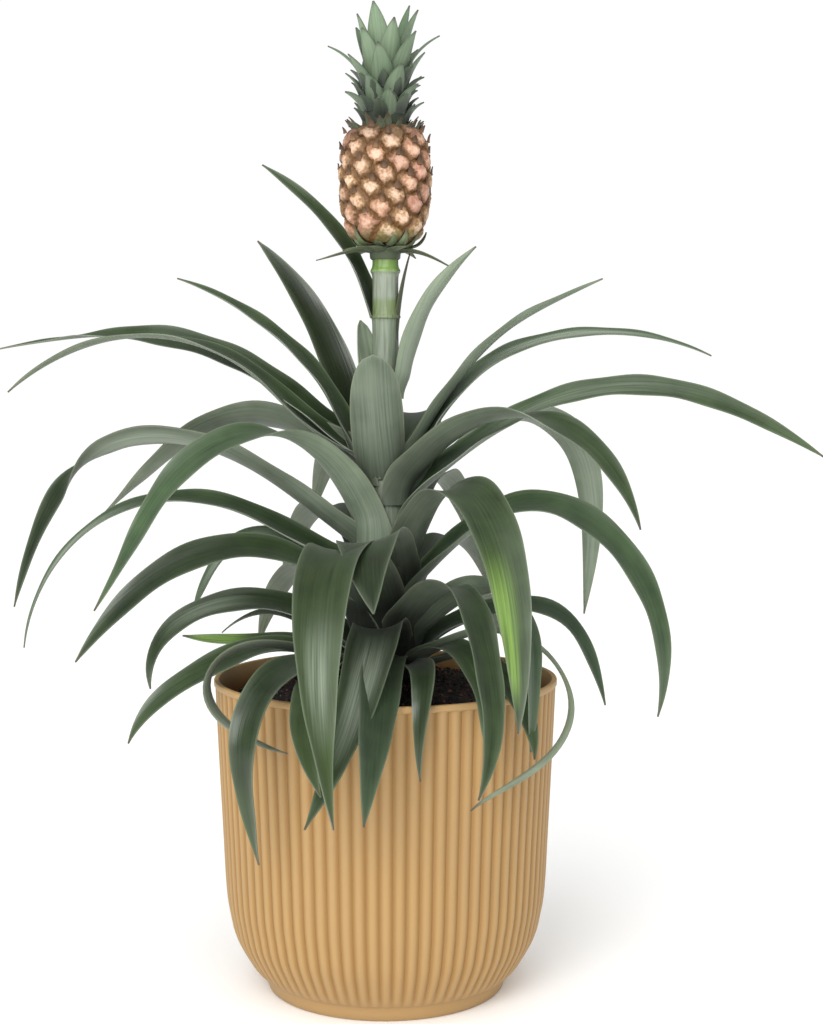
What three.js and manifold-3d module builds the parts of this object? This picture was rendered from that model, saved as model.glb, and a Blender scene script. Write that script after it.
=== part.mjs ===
// Potted pineapple plant. Millimetres, +Z up, origin at the middle of the pot's underside.
import * as THREE from 'three';
import { mergeVertices } from 'three/addons/utils/BufferGeometryUtils.js';
import Module from 'manifold-3d';

const wasm = await Module();
wasm.setup();

// Pot
const POT_HEIGHT = 128;
const POT_RIM_RADIUS = 70;
const POT_WALL = 2.2;
const POT_FLOOR = 3;
const FOOT_RADIUS = 47.8;
const RIM_HEIGHT = 2.2;
const RIM_CHAMFER = 0.7;
const RIM_INNER_CHAMFER = 0.5;
const RIB_COUNT = 80;
const RIB_DEPTH = 0.9;
const SMOOTH_SEGMENTS = 48;
const INSIDE_SEGMENTS = 32;
const INSIDE_HEIGHTS = [93, 42, 22, 12];
// The inside is rounded into the floor by two bevels that start at this height of the outer wall
const FLOOR_CURVE_HEIGHT = 7.5;
const FLOOR_BEVEL = 3;
const FLOOR_INSET = 7;
// Outer wall under the smooth rim, from the foot up: height, radius, share of the full rib depth
const RIBBED_WALL = [
  [0.8, 48.6, 0],
  [6.5, 50.4, 0.3],
  [7.5, 53.0, 0.7],
  [12, 56.3, 1],
  [22, 61.7, 1],
  [31, 64.2, 1],
  [42, 65.6, 1],
  [122.8, 69.4, 1],
  [125.2, 69.5, 0],
];

// Gap kept between neighbouring solids
const GAP = 0.3;

// Potting soil
const SOIL_SEGMENTS = 20;
const SOIL_HOLE_BOTTOM = 60;
const SOIL_CROWN_HEIGHT = 128;
const SOIL_CROWN_WIDTH = 3;
// Mounded surface from the wall in towards the stem: height, share of the radius at the wall
const SOIL_SURFACE = [
  [118, 1],
  [121, 0.9],
  [124.5, 0.66],
  [127.5, 0.4],
];

// Short thick stem under the leaves and the stalk above it: height, radius
const STEM_PROFILE = [
  [60.3, 8],
  [100, 12],
  [150, 12.4],
  [176, 10.6],
  [206, 7.4],
  [250, 5.6],
  [272, 5.5],
  [274, 6.3],
  [276, 5.5],
  [291, 5.4],
  [292.5, 6.1],
  [294, 5.2],
  [303, 5.2],
];
const STEM_SEGMENTS = 14;

// Leaves grow out of this inner core of the stem: height, radius
const ROOT_CORE = [
  [60, 8],
  [150, 8.5],
  [205, 6],
  [250, 4.6],
  [330, 4],
];

// Fruit
const FRUIT_BASE = 303.4;
const FRUIT_HEIGHT = 46.6;
const FRUIT_RADIUS = 16.6;
// The body's radius at its ends as a share of the widest, and how far its belly lies above the middle
const FRUIT_END_SHARE = 0.55;
const FRUIT_BELLY_LIFT = 1.15;
const FRUIT_BELLY_POWER = 2.4;
const FRUIT_SEGMENTS = 12;
const FRUIT_RINGS = 6;
const EYE_LOWEST = 2.4;
const EYE_TOP_MARGIN = 1.6;
const EYE_SPACING = 8.6;
const EYE_RADIUS = 4.1;
const EYE_TOP_RADIUS = 2.7;
const BRACT_TIP_REACH = 1.6;
const BRACT_TIP_RISE = 1.1;
const EYE_RISE = 1.7;
const EYE_SINK = 0.7;
const EYE_SIDES = 6;
const GOLDEN_ANGLE = Math.PI * (3 - Math.sqrt(5));

// Crown of short leaves on the fruit
const CROWN_BASE = FRUIT_BASE + FRUIT_HEIGHT + GAP;
const CROWN_CORE_HEIGHT = 26;
const CROWN_CORE_RADIUS = 9.2;
// The core's height and radius from the bottom up, as shares of its own
const CROWN_CORE = [
  [0, 1],
  [0.6, 0.95],
  [1, 0.7],
];
const CROWN_CORE_SEGMENTS = 10;
const CROWN_LEAF_COUNT = 30;
const CROWN_LEAF_RINGS = 3;
const CROWN_LOWEST_LEAF = 0.8;
const CROWN_LEAF_THICKNESS = 1.8;
// The least and the most that a leaf leans, is long and is wide, and how much it varies
const CROWN_LEAN = { least: 5, most: 29, varies: 8 };
const CROWN_LENGTH = { least: 9, most: 23, varies: 3 };
const CROWN_WIDTH = { least: 8.5, most: 11.5 };
// Leaves are as long as the longest from this share of their number on
const CROWN_LONG_FROM = 0.75;
// The leaves' roots lie this far out at the bottom and at the top, as a share of the core's radius
const CROWN_ROOTS = { bottom: 0.9, top: 0.68 };
// The topmost leaf grows from this share of the core's height
const CROWN_TOP_ROOT = 0.85;
// These leaves stray: each leans this much more, reaches further out and is narrower
const CROWN_STRAYS = [17, 21];
const CROWN_STRAY = { lean: 12, length: 1.1, width: 0.5 };
// A small blade narrows and thins by these shares towards its tip
const SPIKE_TAPER = { width: 0.75, thickness: 0.5 };
// Lean from root to tip as shares of a leaf's own lean
const CROWN_CURVE = [0.4, 1, 1.6, 2.1];
const CROWN_SWING = 20;
const CROWN_TWIST = 30;
const CROWN_SEED = 7;

// Thin bracts on a collar just under the fruit: azimuth, length, five lean angles, width
const COLLAR_BOTTOM = 297;
const COLLAR_BEVEL = 0.6;
const COLLAR_TOP = 302.6;
const COLLAR_INNER_RADIUS = 5.5;
const COLLAR_RADIUS = 6.2;
const COLLAR_TOP_RADIUS = 6.6;
const COLLAR_SEGMENTS = 16;
const FRUIT_BRACT_HEIGHT = 300.4;
const FRUIT_BRACT_START = 6;
const FRUIT_BRACT_THICKNESS = 1.4;
const FRUIT_BRACTS = [
  [190, 23, [80, 94, 104, 106, 104], 5.5],
  [-4, 25, [82, 100, 112, 118, 122], 5.5],
  [222, 17, [76, 84, 92, 100, 104], 6],
  [250, 12, [78, 80, 84, 88, 92], 6],
  [300, 12, [78, 80, 84, 90, 96], 6],
  [60, 20, [76, 84, 94, 104, 110], 5],
  [120, 22, [76, 84, 94, 104, 112], 5],
];

// Blade thickness at the midrib by the root, at the midrib by the tip and along the edges
const MIDRIB_ROOT = 1.7;
const MIDRIB_TIP = 0.9;
const BLADE_EDGE = 0.7;
const TIP_WIDTH = 0.9;
// A blade's section is an arc: its half angle by the root and from the middle on, in radians
const GUTTER_ROOT = 0.75;
const GUTTER_BLADE = 0.4;
// A leaf clasps the stem with a base this much of its width, which passes into the blade at a
// quarter of its length; a blunt leaf has a narrower base
const BASE_SHARE = 1.2;
const BLUNT_BASE_SHARE = 0.75;
const BASE_LENGTH_SHARE = 0.25;
// How a blade narrows towards its tip: the power of the length's share and that of the rest
const TAPER = { pointed: [2.7, 0.9], blunt: [5, 0.6] };
// The twist grows with this power of the length's share
const TWIST_POWER = 1.5;
const LEAF_STEP_LENGTH = 25;
const LEAF_MIN_STEPS = 5;
// A step of the path is added up from this many smaller ones
const SUBSTEPS = 5;

// Each leaf: name, azimuth, root height, length, five lean angles from the vertical between the
// root and the tip, width, swing of the azimuth, twist gained by the tip, twist at the root.
// Azimuth 0 points right, 90 to the back, 180 left and -90 to the front.
const LEAVES = [
  ['leaf_left_01', 160, 274, 82, [16, 25, 40, 50, 58], 10, 0, -35, -12],
  ['leaf_left_02', 147, 213, 112, [32, 20, 28, 40, 50], 16, 0, -25, -25],
  ['leaf_left_03', 173, 209, 118, [28, 26, 45, 58, 72], 14, 0, -5, -16],
  ['leaf_left_04', 166, 215, 172, [54, 52, 72, 93, 101], 18, 20, -45, -15],
  ['leaf_left_05', 178, 219, 168, [76, 46, 73, 105, 132], 15, 0, 50, -25],
  ['leaf_left_06', 154, 213, 148, [66, 68, 106, 128, 130], 20, 5, -50, 48],
  ['leaf_left_07', 212, 182, 172, [14, 50, 108, 148, 148], 20, -25, -5, 14],
  ['leaf_left_08', 163, 179, 212, [54, 59, 91, 146, 166], 19, 10, -10, 32],
  ['leaf_left_09', 165, 169, 192, [64, 65, 98, 137, 173], 14, 10, -12, -16],
  ['leaf_left_10', 147, 163, 110, [80, 60, 86, 138, 158], 16, 10, -85, 5],
  ['leaf_left_11', 198, 153, 143, [40, 62, 100, 130, 145], 20, -8, -30, -20],
  ['leaf_left_12', 160, 136, 72, [66, 64, 74, 106, 132], 9, -5, 0, -16],
  ['leaf_left_13', 174, 136, 117, [44, 66, 95, 130, 190], 18, 10, -42, -14],
  ['leaf_left_14', 186, 135, 76, [78, 74, 88, 88, 82], 14, -20, -20, -10],
  ['leaf_left_15', 203, 133, 113, [78, 74, 108, 122, 158], 18, -12, -45, -4],
  ['leaf_left_16', 229, 133, 136, [84, 70, 102, 222, 272], 7, -100, 8, 32],
  ['leaf_left_17', 238, 130, 152, [84, 75, 114, 186, 200], 17, 5, 30, -18],
  ['leaf_right_01', -30, 226, 87, [10, 8, 22, 42, 56], 11.5, -4, -30, -4],
  ['leaf_right_02', 4, 212, 117, [30, 33, 44, 62, 66], 13, 0, -5, -17],
  ['leaf_right_03', 12, 207, 161, [26, 40, 72, 93, 114], 14, -5, 10, 14],
  ['leaf_right_04', -22, 203, 133, [34, 56, 97, 136, 162], 22, 0, 0, -14],
  ['leaf_right_05', 0, 197, 193, [44, 57, 82, 110, 124], 16, -5, 60, 12],
  ['leaf_right_06', 38, 196, 203, [50, 63, 110, 172, 205], 19, 30, 15, -30],
  ['leaf_right_07', -16, 161, 178, [40, 56, 120, 160, 193], 20, 5, 35, 15],
  ['leaf_right_08', -58, 152, 196, [10, 44, 116, 145, 145], 24, -40, -36, 21],
  ['leaf_right_09', -58, 143, 156, [38, 68, 137, 131, 128], 17, -57, -35, -6],
  ['leaf_right_10', -36, 142, 132, [46, 60, 108, 166, 174], 16, -90, -40, -22],
  ['leaf_right_11', -44, 135, 168, [66, 76, 150, 238, 270], 6, 118, 0, -20],
  ['leaf_right_12', -6, 131, 114, [30, 63, 88, 148, 166], 15, -20, 5, 20],
  ['leaf_right_13', -50, 131, 97, [64, 66, 112, 124, 220], 14, -60, 0, 8],
  ['leaf_right_14', -38, 128.5, 103, [62, 73, 113, 124, 122], 13, -60, 10, 6],
  ['leaf_front_01', -100, 209, 57, [28, 28, 28, 30, 33], 22, 6, -20, 20],
  ['leaf_front_02', -97, 158, 110, [14, 58, 84, 116, 136], 32, 14, 20, 5],
  ['leaf_front_03', -108, 143, 202, [18, 64, 118, 144, 149], 25, 41, -46, 12],
  ['leaf_front_04', -94, 137, 142, [28, 96, 122, 128, 130], 22, -30, 0, 6],
  ['leaf_front_05', -92, 132, 146, [44, 98, 110, 112, 128], 19, -3, 0, -28],
  ['leaf_front_06', -115, 129, 131, [62, 82, 106, 117, 126], 18, 50, -5, 16],
  ['leaf_front_07', -72, 129.5, 100, [64, 78, 96, 158, 190], 12, -54, 12, 8],
];

const BLUNT_LEAVES = ['leaf_front_01'];

// Leaves whose blade turns over on its way: the twist of that turn, its middle and half its length
const TURNS_OVER = {
  leaf_left_04: [45, 0.72, 0.12],
  leaf_left_07: [-38, 0.4, 0.15],
  leaf_left_08: [-85, 0.68, 0.08],
  leaf_right_04: [38, 0.52, 0.16],
};
const NO_TURN = [0, 0.5, 0.1];

// Leaves at the back, placed by a rule: each next one is lower, shorter, further round and hangs
// further down, on the other side of the back
const BACK_LEAF_COUNT = 8;
const BACK_TOP = 204;
const BACK_STEP = 10;
const BACK_LENGTH = 150;
const BACK_SHORTENING = 4;
const BACK_AZIMUTH = 90;
const BACK_SPREAD = 8;
const BACK_SPREAD_STEP = 4;
const BACK_LEAN = [30, 50, 84, 118, 142];
const BACK_DROOP_STEP = 2.5;
const BACK_WIDTH = 19;
const BACK_TWIST = 20;

// Short leaves that clasp the stalk
const SHEATH_START = 4.2;
const SHEATH_MIDRIB = 1;

const COLOURS = {
  pot: 0xcba264,
  soil: 0x2b211b,
  stem: 0x8f9c7c,
  fruit: 0xb98a5f,
  bract: 0x5c6a44,
  crown: 0x6f8a70,
  leaf: 0x4b6044,
};

// Value at x of a broken line through the points [x, value]
function interpolate(points, x) {
  const last = points.length - 1;
  if (x <= points[0][0]) return points[0][1];
  if (x >= points[last][0]) return points[last][1];
  const i = points.findIndex((point) => point[0] > x);
  const [x0, y0] = points[i - 1];
  const [x1, y1] = points[i];
  return y0 + ((y1 - y0) * (x - x0)) / (x1 - x0);
}

// Numbers from 0 to 1 in a fixed order
function seededNumbers(seed) {
  let state = seed;
  return () => {
    state = (state * 1664525 + 1013904223) % 4294967296;
    return state / 4294967296;
  };
}

// Geometry from points and triangles, turned so that its faces point out
function closedGeometry(points, triangles) {
  const corner = triangles.map((index) => points[index]);
  let volume = 0;
  for (let i = 0; i < corner.length; i += 3) {
    volume += corner[i].dot(new THREE.Vector3().crossVectors(corner[i + 1], corner[i + 2]));
  }
  const outward = volume > 0 ? triangles : triangles.slice().reverse();
  const geometry = new THREE.BufferGeometry();
  const coordinates = points.flatMap((point) => point.toArray());
  geometry.setAttribute('position', new THREE.Float32BufferAttribute(coordinates, 3));
  geometry.setIndex(outward);
  return geometry;
}

function toSolid(geometry) {
  const bare = geometry.clone();
  bare.deleteAttribute('normal');
  bare.deleteAttribute('uv');
  const merged = mergeVertices(bare, 1e-5);
  const vertProperties = new Float32Array(merged.attributes.position.array);
  const triVerts = new Uint32Array(merged.index.array);
  return new wasm.Manifold(new wasm.Mesh({ numProp: 3, vertProperties, triVerts }));
}

function toGeometry(solid) {
  const mesh = solid.getMesh();
  const geometry = new THREE.BufferGeometry();
  geometry.setAttribute('position', new THREE.Float32BufferAttribute(mesh.vertProperties, 3));
  geometry.setIndex(Array.from(mesh.triVerts));
  return geometry;
}

// The largest closed surface of a solid, without loose bits and inner hollows
function largestPiece(solid) {
  const pieces = solid.decompose();
  return pieces.reduce((best, piece) => (piece.volume() > best.volume() ? piece : best));
}

function joinAll(geometries) {
  let joined = toSolid(geometries[0]);
  for (const geometry of geometries.slice(1)) joined = joined.add(toSolid(geometry));
  return largestPiece(joined);
}

// Solid of revolution about Z from [height, radius] points, closed onto the axis at both ends
function turned(profile, segments) {
  const outline = [
    new THREE.Vector2(0, profile[0][0]),
    ...profile.map(([height, radius]) => new THREE.Vector2(radius, height)),
    new THREE.Vector2(0, profile[profile.length - 1][0]),
  ];
  return new THREE.LatheGeometry(outline, segments).rotateX(Math.PI / 2);
}

// Level ring about Z; a ribbed ring has one crest and one groove point for each rib
function wallRing(height, radius, ribDepth, smoothCount = SMOOTH_SEGMENTS) {
  const count = ribDepth > 0 ? 2 * RIB_COUNT : smoothCount;
  return Array.from({ length: count }, (_, i) => {
    const angle = (2 * Math.PI * i) / count;
    const r = radius - (i % 2 === 1 ? ribDepth : 0);
    return new THREE.Vector3(r * Math.cos(angle), r * Math.sin(angle), height);
  });
}

// Joins level rings, one after another, into a solid; rings may differ in their number of points
function ringSolid(rings) {
  const points = [];
  const triangles = [];
  const loops = rings.map((ring) => ring.map((point) => points.push(point) - 1));
  for (let k = 0; k < loops.length - 1; k += 1) {
    const a = loops[k];
    const b = loops[k + 1];
    let i = a.length === 1 ? 1 : 0;
    let j = b.length === 1 ? 1 : 0;
    while (i < a.length || j < b.length) {
      const stepA = j === b.length || (i < a.length && (i + 1) / a.length <= (j + 1) / b.length);
      if (stepA) {
        triangles.push(a[i], a[(i + 1) % a.length], b[j % b.length]);
        i += 1;
      } else {
        triangles.push(a[i % a.length], b[(j + 1) % b.length], b[j]);
        j += 1;
      }
    }
  }
  return closedGeometry(points, triangles);
}

// Inner radius of the pot, a wall's thickness inside the grooves
function innerRadius(height) {
  return interpolate(RIBBED_WALL, height) - POT_WALL;
}

function potGeometry() {
  const insideRing = (height, radius) => wallRing(height, radius, 0, INSIDE_SEGMENTS);
  const axisPoint = (height) => [new THREE.Vector3(0, 0, height)];
  const rimInside = POT_RIM_RADIUS - POT_WALL;
  return ringSolid([
    axisPoint(0),
    wallRing(0, FOOT_RADIUS, 0),
    ...RIBBED_WALL.map(([height, radius, share]) => wallRing(height, radius, share * RIB_DEPTH)),
    wallRing(POT_HEIGHT - RIM_HEIGHT, POT_RIM_RADIUS, 0),
    wallRing(POT_HEIGHT - RIM_CHAMFER, POT_RIM_RADIUS, 0),
    wallRing(POT_HEIGHT, POT_RIM_RADIUS - RIM_CHAMFER, 0),
    wallRing(POT_HEIGHT, rimInside + RIM_INNER_CHAMFER, 0),
    wallRing(POT_HEIGHT - RIM_INNER_CHAMFER, rimInside, 0),
    ...INSIDE_HEIGHTS.map((height) => insideRing(height, innerRadius(height))),
    insideRing(POT_FLOOR + FLOOR_BEVEL, innerRadius(FLOOR_CURVE_HEIGHT) - FLOOR_BEVEL),
    insideRing(POT_FLOOR, innerRadius(FLOOR_CURVE_HEIGHT) - FLOOR_INSET),
    axisPoint(POT_FLOOR),
  ]);
}

function soilGeometry() {
  const soilRadius = (height) => innerRadius(height) - 2 * GAP;
  const holeRadius = interpolate(STEM_PROFILE, SOIL_CROWN_HEIGHT) + GAP;
  const wallRadius = soilRadius(SOIL_SURFACE[0][0]);
  const footRadius = soilRadius(FLOOR_CURVE_HEIGHT);
  const profile = [
    [POT_FLOOR + GAP, footRadius - FLOOR_INSET - 1],
    [POT_FLOOR + FLOOR_BEVEL + GAP, footRadius - FLOOR_BEVEL],
    ...INSIDE_HEIGHTS.slice().reverse().map((height) => [height, soilRadius(height)]),
    ...SOIL_SURFACE.map(([height, share]) => [height, share * wallRadius]),
    [SOIL_CROWN_HEIGHT, holeRadius + SOIL_CROWN_WIDTH],
    [SOIL_CROWN_HEIGHT - 1, holeRadius],
    [SOIL_HOLE_BOTTOM, holeRadius],
  ];
  return turned(profile, SOIL_SEGMENTS);
}

function stemGeometry(margin) {
  const grown = STEM_PROFILE.map(([height, radius]) => [height, radius + margin]);
  return turned(grown, STEM_SEGMENTS);
}

// Lean angle at u, a smooth curve through the given angles from root to tip
function leanAt(angles, u) {
  const n = angles.length - 1;
  const x = Math.min(Math.max(u, 0), 1) * n;
  const i = Math.min(Math.floor(x), n - 1);
  const t = x - i;
  const p1 = angles[i];
  const p2 = angles[i + 1];
  const p0 = i > 0 ? angles[i - 1] : 2 * p1 - p2;
  const p3 = i < n - 1 ? angles[i + 2] : 2 * p2 - p1;
  const bend = 2 * p1 + (p2 - p0) * t + (2 * p0 - 5 * p1 + 4 * p2 - p3) * t * t;
  return (bend + (3 * p1 - p0 - 3 * p2 + p3) * t * t * t) / 2;
}

// Points along a leaf's middle with the directions along, across and up from the upper face
function leafPath(leaf, steps) {
  const { azimuth, height, length, lean, turn, twist, rootTwist, start } = leaf;
  const [turnOver, turnAt, turnHalf] = TURNS_OVER[leaf.name] ?? NO_TURN;
  const rad = THREE.MathUtils.degToRad;
  const headingAt = (u) => rad(azimuth + turn * u * u);
  const along = (u) => {
    const tilt = rad(leanAt(lean, u));
    const heading = headingAt(u);
    const level = Math.sin(tilt);
    return new THREE.Vector3(level * Math.cos(heading), level * Math.sin(heading), Math.cos(tilt));
  };
  const root = rad(azimuth);
  const point = new THREE.Vector3(start * Math.cos(root), start * Math.sin(root), height);
  const path = [];
  for (let i = 0; i <= steps; i += 1) {
    const u = i / steps;
    const tangent = along(u);
    const heading = headingAt(u);
    const side = new THREE.Vector3(-Math.sin(heading), Math.cos(heading), 0);
    const face = new THREE.Vector3().crossVectors(tangent, side);
    const overBy = turnOver * THREE.MathUtils.smoothstep(u, turnAt - turnHalf, turnAt + turnHalf);
    const twisted = rad(twist * Math.pow(u, TWIST_POWER) + rootTwist + overBy);
    const [cosine, sine] = [Math.cos(twisted), Math.sin(twisted)];
    const across = side.clone().multiplyScalar(cosine).addScaledVector(face, sine);
    const up = face.clone().multiplyScalar(cosine).addScaledVector(side, -sine);
    path.push({ u, point: point.clone(), across, up });
    for (let k = 0; k < SUBSTEPS; k += 1) {
      const middle = u + (k + 0.5) / (SUBSTEPS * steps);
      point.addScaledVector(along(middle), length / (SUBSTEPS * steps));
    }
  }
  return path;
}

// Width along a leaf: it clasps the stem with a broad base, or a narrow one where the tip is blunt
function leafWidth(leaf, u) {
  const away = THREE.MathUtils.smoothstep(u, 0, BASE_LENGTH_SHARE);
  const base = THREE.MathUtils.lerp(leaf.blunt ? BLUNT_BASE_SHARE : BASE_SHARE, 1, away);
  const [inner, outer] = leaf.blunt ? TAPER.blunt : TAPER.pointed;
  const taper = Math.pow(1 - Math.pow(u, inner), outer);
  return Math.max(leaf.width * base * taper, TIP_WIDTH);
}

// Gutter-shaped blade with three points across on each face, both faces split alike
function bladeGeometry(leaf, steps, margin) {
  const points = [];
  for (const { u, point, across, up } of leafPath(leaf, steps)) {
    const width = leafWidth(leaf, u) + 2 * margin;
    const gutter = THREE.MathUtils.lerp(GUTTER_ROOT, GUTTER_BLADE, Math.min(2 * u, 1));
    const curl = width / (2 * gutter);
    const out = curl * Math.sin(gutter);
    const rise = curl * (1 - Math.cos(gutter));
    const midrib = (leaf.midrib ?? MIDRIB_ROOT) * (1 - u) + MIDRIB_TIP * u + margin;
    for (const [side, depth] of [[-1, 0], [0, 0], [1, 0], [-1, 1], [0, 1], [1, 1]]) {
      const thickness = side === 0 ? midrib : BLADE_EDGE + margin;
      const lift = (side === 0 ? 0 : rise) + margin - depth * (thickness + margin);
      points.push(point.clone().addScaledVector(across, side * out).addScaledVector(up, lift));
    }
  }
  const triangles = [];
  const quad = (a, b, c, d) => triangles.push(a, b, c, a, c, d);
  for (let i = 0; i < steps; i += 1) {
    const a = 6 * i;
    const b = a + 6;
    quad(a, a + 1, b + 1, b);
    quad(a + 1, a + 2, b + 2, b + 1);
    triangles.push(a + 3, b + 4, a + 4, a + 3, b + 3, b + 4);
    triangles.push(a + 4, b + 5, a + 5, a + 4, b + 4, b + 5);
    quad(a, b, b + 3, a + 3);
    quad(a + 2, a + 5, b + 5, b + 2);
  }
  const end = 6 * steps;
  quad(0, 3, 4, 1);
  quad(1, 4, 5, 2);
  quad(end, end + 1, end + 4, end + 3);
  quad(end + 1, end + 2, end + 5, end + 4);
  return closedGeometry(points, triangles);
}

function largeLeaves() {
  const listed = LEAVES.map(([name, azimuth, height, length, lean, width, turn, twist, rootTwist]) => {
    const start = interpolate(ROOT_CORE, height);
    const blunt = BLUNT_LEAVES.includes(name);
    return { name, azimuth, height, length, lean, width, turn, twist, rootTwist, start, blunt };
  });
  return [...listed, ...sheathLeaves(), ...backLeaves()];
}

function sheathLeaves() {
  const common = { turn: 0, twist: 0, rootTwist: 0, start: SHEATH_START, midrib: SHEATH_MIDRIB };
  const sheath = { azimuth: 140, height: 228, length: 46, lean: [12, 10, 10, 12, 14], width: 15 };
  const bract = { azimuth: -15, height: 264, length: 36, lean: [6, 6, 9, 12, 16], width: 5 };
  return [
    { ...common, ...sheath, name: 'sheath_left', blunt: true },
    { ...common, ...bract, name: 'bract_right', blunt: false },
  ];
}

function backLeaves() {
  return Array.from({ length: BACK_LEAF_COUNT }, (_, i) => {
    const height = BACK_TOP - BACK_STEP * i;
    const side = i % 2 === 0 ? 1 : -1;
    return {
      name: `leaf_back_0${i + 1}`,
      azimuth: BACK_AZIMUTH + side * (BACK_SPREAD + BACK_SPREAD_STEP * i),
      height,
      length: BACK_LENGTH - BACK_SHORTENING * i,
      lean: BACK_LEAN.map((angle) => angle + BACK_DROOP_STEP * i),
      width: BACK_WIDTH,
      turn: 0,
      twist: BACK_TWIST * side,
      rootTwist: 0,
      start: interpolate(ROOT_CORE, height),
    };
  });
}

// Leaf solids, each cut clear of the stem and of the leaves before it
function leafSolids() {
  const stem = toSolid(stemGeometry(GAP));
  const grown = [];
  return largeLeaves().map((leaf) => {
    const steps = Math.max(LEAF_MIN_STEPS, Math.round(leaf.length / LEAF_STEP_LENGTH));
    let solid = largestPiece(toSolid(bladeGeometry(leaf, steps, 0)).subtract(stem));
    for (const neighbour of grown) {
      if (!solid.intersect(neighbour).isEmpty()) solid = largestPiece(solid.subtract(neighbour));
    }
    grown.push(toSolid(bladeGeometry(leaf, steps, GAP)));
    return [leaf.name, solid];
  });
}

function fruitRadius(height) {
  const t = THREE.MathUtils.clamp((height - FRUIT_BASE) / FRUIT_HEIGHT, 0, 1);
  const off = Math.abs(2 * Math.pow(t, FRUIT_BELLY_LIFT) - 1);
  const belly = Math.sqrt(Math.max(0, 1 - Math.pow(off, FRUIT_BELLY_POWER)));
  return FRUIT_RADIUS * THREE.MathUtils.lerp(FRUIT_END_SHARE, 1, belly);
}

// Heights of the eyes, spaced so that each has the same share of the fruit's skin
function eyeHeights() {
  const skin = EYE_SPACING * EYE_SPACING * Math.sin(Math.PI / 3);
  const heights = [];
  let height = FRUIT_BASE + EYE_LOWEST;
  while (height < FRUIT_BASE + FRUIT_HEIGHT - EYE_TOP_MARGIN) {
    heights.push(height);
    height += skin / (2 * Math.PI * fruitRadius(height));
  }
  return heights;
}

// One raised six-sided eye on the fruit, its top corner drawn out into the tip of a bract
function eyeGeometry(height, index) {
  const radius = fruitRadius(height);
  const slope = (fruitRadius(height + 1) - fruitRadius(height - 1)) / 2;
  const thickness = EYE_RISE + EYE_SINK;
  const pad = new THREE.CylinderGeometry(EYE_TOP_RADIUS, EYE_RADIUS, thickness, EYE_SIDES, 1)
    .rotateY(Math.PI / 2)
    .rotateX(Math.PI / 2)
    .translate(0, 0, (EYE_RISE - EYE_SINK) / 2);
  const corners = pad.attributes.position;
  for (let i = 0; i < corners.count; i += 1) {
    const [x, z] = [corners.getX(i), corners.getZ(i)];
    const isTip = z > 0 && x < -0.9 * EYE_TOP_RADIUS;
    if (isTip) corners.setXYZ(i, x - BRACT_TIP_REACH, 0, z + BRACT_TIP_RISE);
  }
  return pad
    .rotateY(Math.PI / 2 + Math.atan(slope))
    .translate(radius, 0, height)
    .rotateZ(GOLDEN_ANGLE * index);
}

function fruitSolid() {
  const profile = Array.from({ length: FRUIT_RINGS + 1 }, (_, i) => {
    const height = FRUIT_BASE + (FRUIT_HEIGHT * i) / FRUIT_RINGS;
    return [height, fruitRadius(height)];
  });
  const eyes = eyeHeights().map(eyeGeometry);
  return joinAll([turned(profile, FRUIT_SEGMENTS), ...eyes]);
}

// Small leaves of the crown: short and spreading at the bottom, longer and upright at the top
function crownSolid() {
  const { lerp } = THREE.MathUtils;
  const random = seededNumbers(CROWN_SEED);
  const profile = CROWN_CORE.map(([height, radius]) => [
    CROWN_BASE + CROWN_CORE_HEIGHT * height,
    CROWN_CORE_RADIUS * radius,
  ]);
  const core = turned(profile, CROWN_CORE_SEGMENTS);
  const blades = Array.from({ length: CROWN_LEAF_COUNT }, (_, i) => {
    const t = i / (CROWN_LEAF_COUNT - 1);
    const strays = CROWN_STRAYS.includes(i);
    const upright = lerp(CROWN_LEAN.most, CROWN_LEAN.least, t) + CROWN_LEAN.varies * random();
    const lean = upright + (strays ? CROWN_STRAY.lean : 0);
    const grown = Math.min(t / CROWN_LONG_FROM, 1);
    const length = lerp(CROWN_LENGTH.least, CROWN_LENGTH.most, grown) + CROWN_LENGTH.varies * random();
    return spikeGeometry({
      azimuth: THREE.MathUtils.radToDeg(GOLDEN_ANGLE) * i,
      height: CROWN_BASE + CROWN_LOWEST_LEAF + CROWN_CORE_HEIGHT * CROWN_TOP_ROOT * t,
      length: length * (strays ? CROWN_STRAY.length : 1),
      lean: CROWN_CURVE.map((share) => share * lean),
      width: lerp(CROWN_WIDTH.least, CROWN_WIDTH.most, t) * (strays ? CROWN_STRAY.width : 1),
      turn: CROWN_SWING * (random() - 0.5),
      twist: CROWN_TWIST * (random() - 0.5),
      rootTwist: 0,
      start: CROWN_CORE_RADIUS * lerp(CROWN_ROOTS.bottom, CROWN_ROOTS.top, t),
      midrib: CROWN_LEAF_THICKNESS,
    });
  });
  return joinAll([core, ...blades]);
}

// Small pointed blade with a three-sided section, flat above and keeled below
function spikeGeometry(leaf) {
  const rings = leafPath(leaf, CROWN_LEAF_RINGS).map(({ u, point, across, up }, i) => {
    if (i === CROWN_LEAF_RINGS) return [point];
    const half = (leaf.width / 2) * (1 - SPIKE_TAPER.width * u * u);
    const thickness = leaf.midrib * (1 - SPIKE_TAPER.thickness * u);
    const left = point.clone().addScaledVector(across, -half);
    const right = point.clone().addScaledVector(across, half);
    return [left, right, point.clone().addScaledVector(up, -thickness)];
  });
  const [left, right, keel] = rings[0];
  return ringSolid([[left.clone().add(right).add(keel).divideScalar(3)], ...rings]);
}

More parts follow.
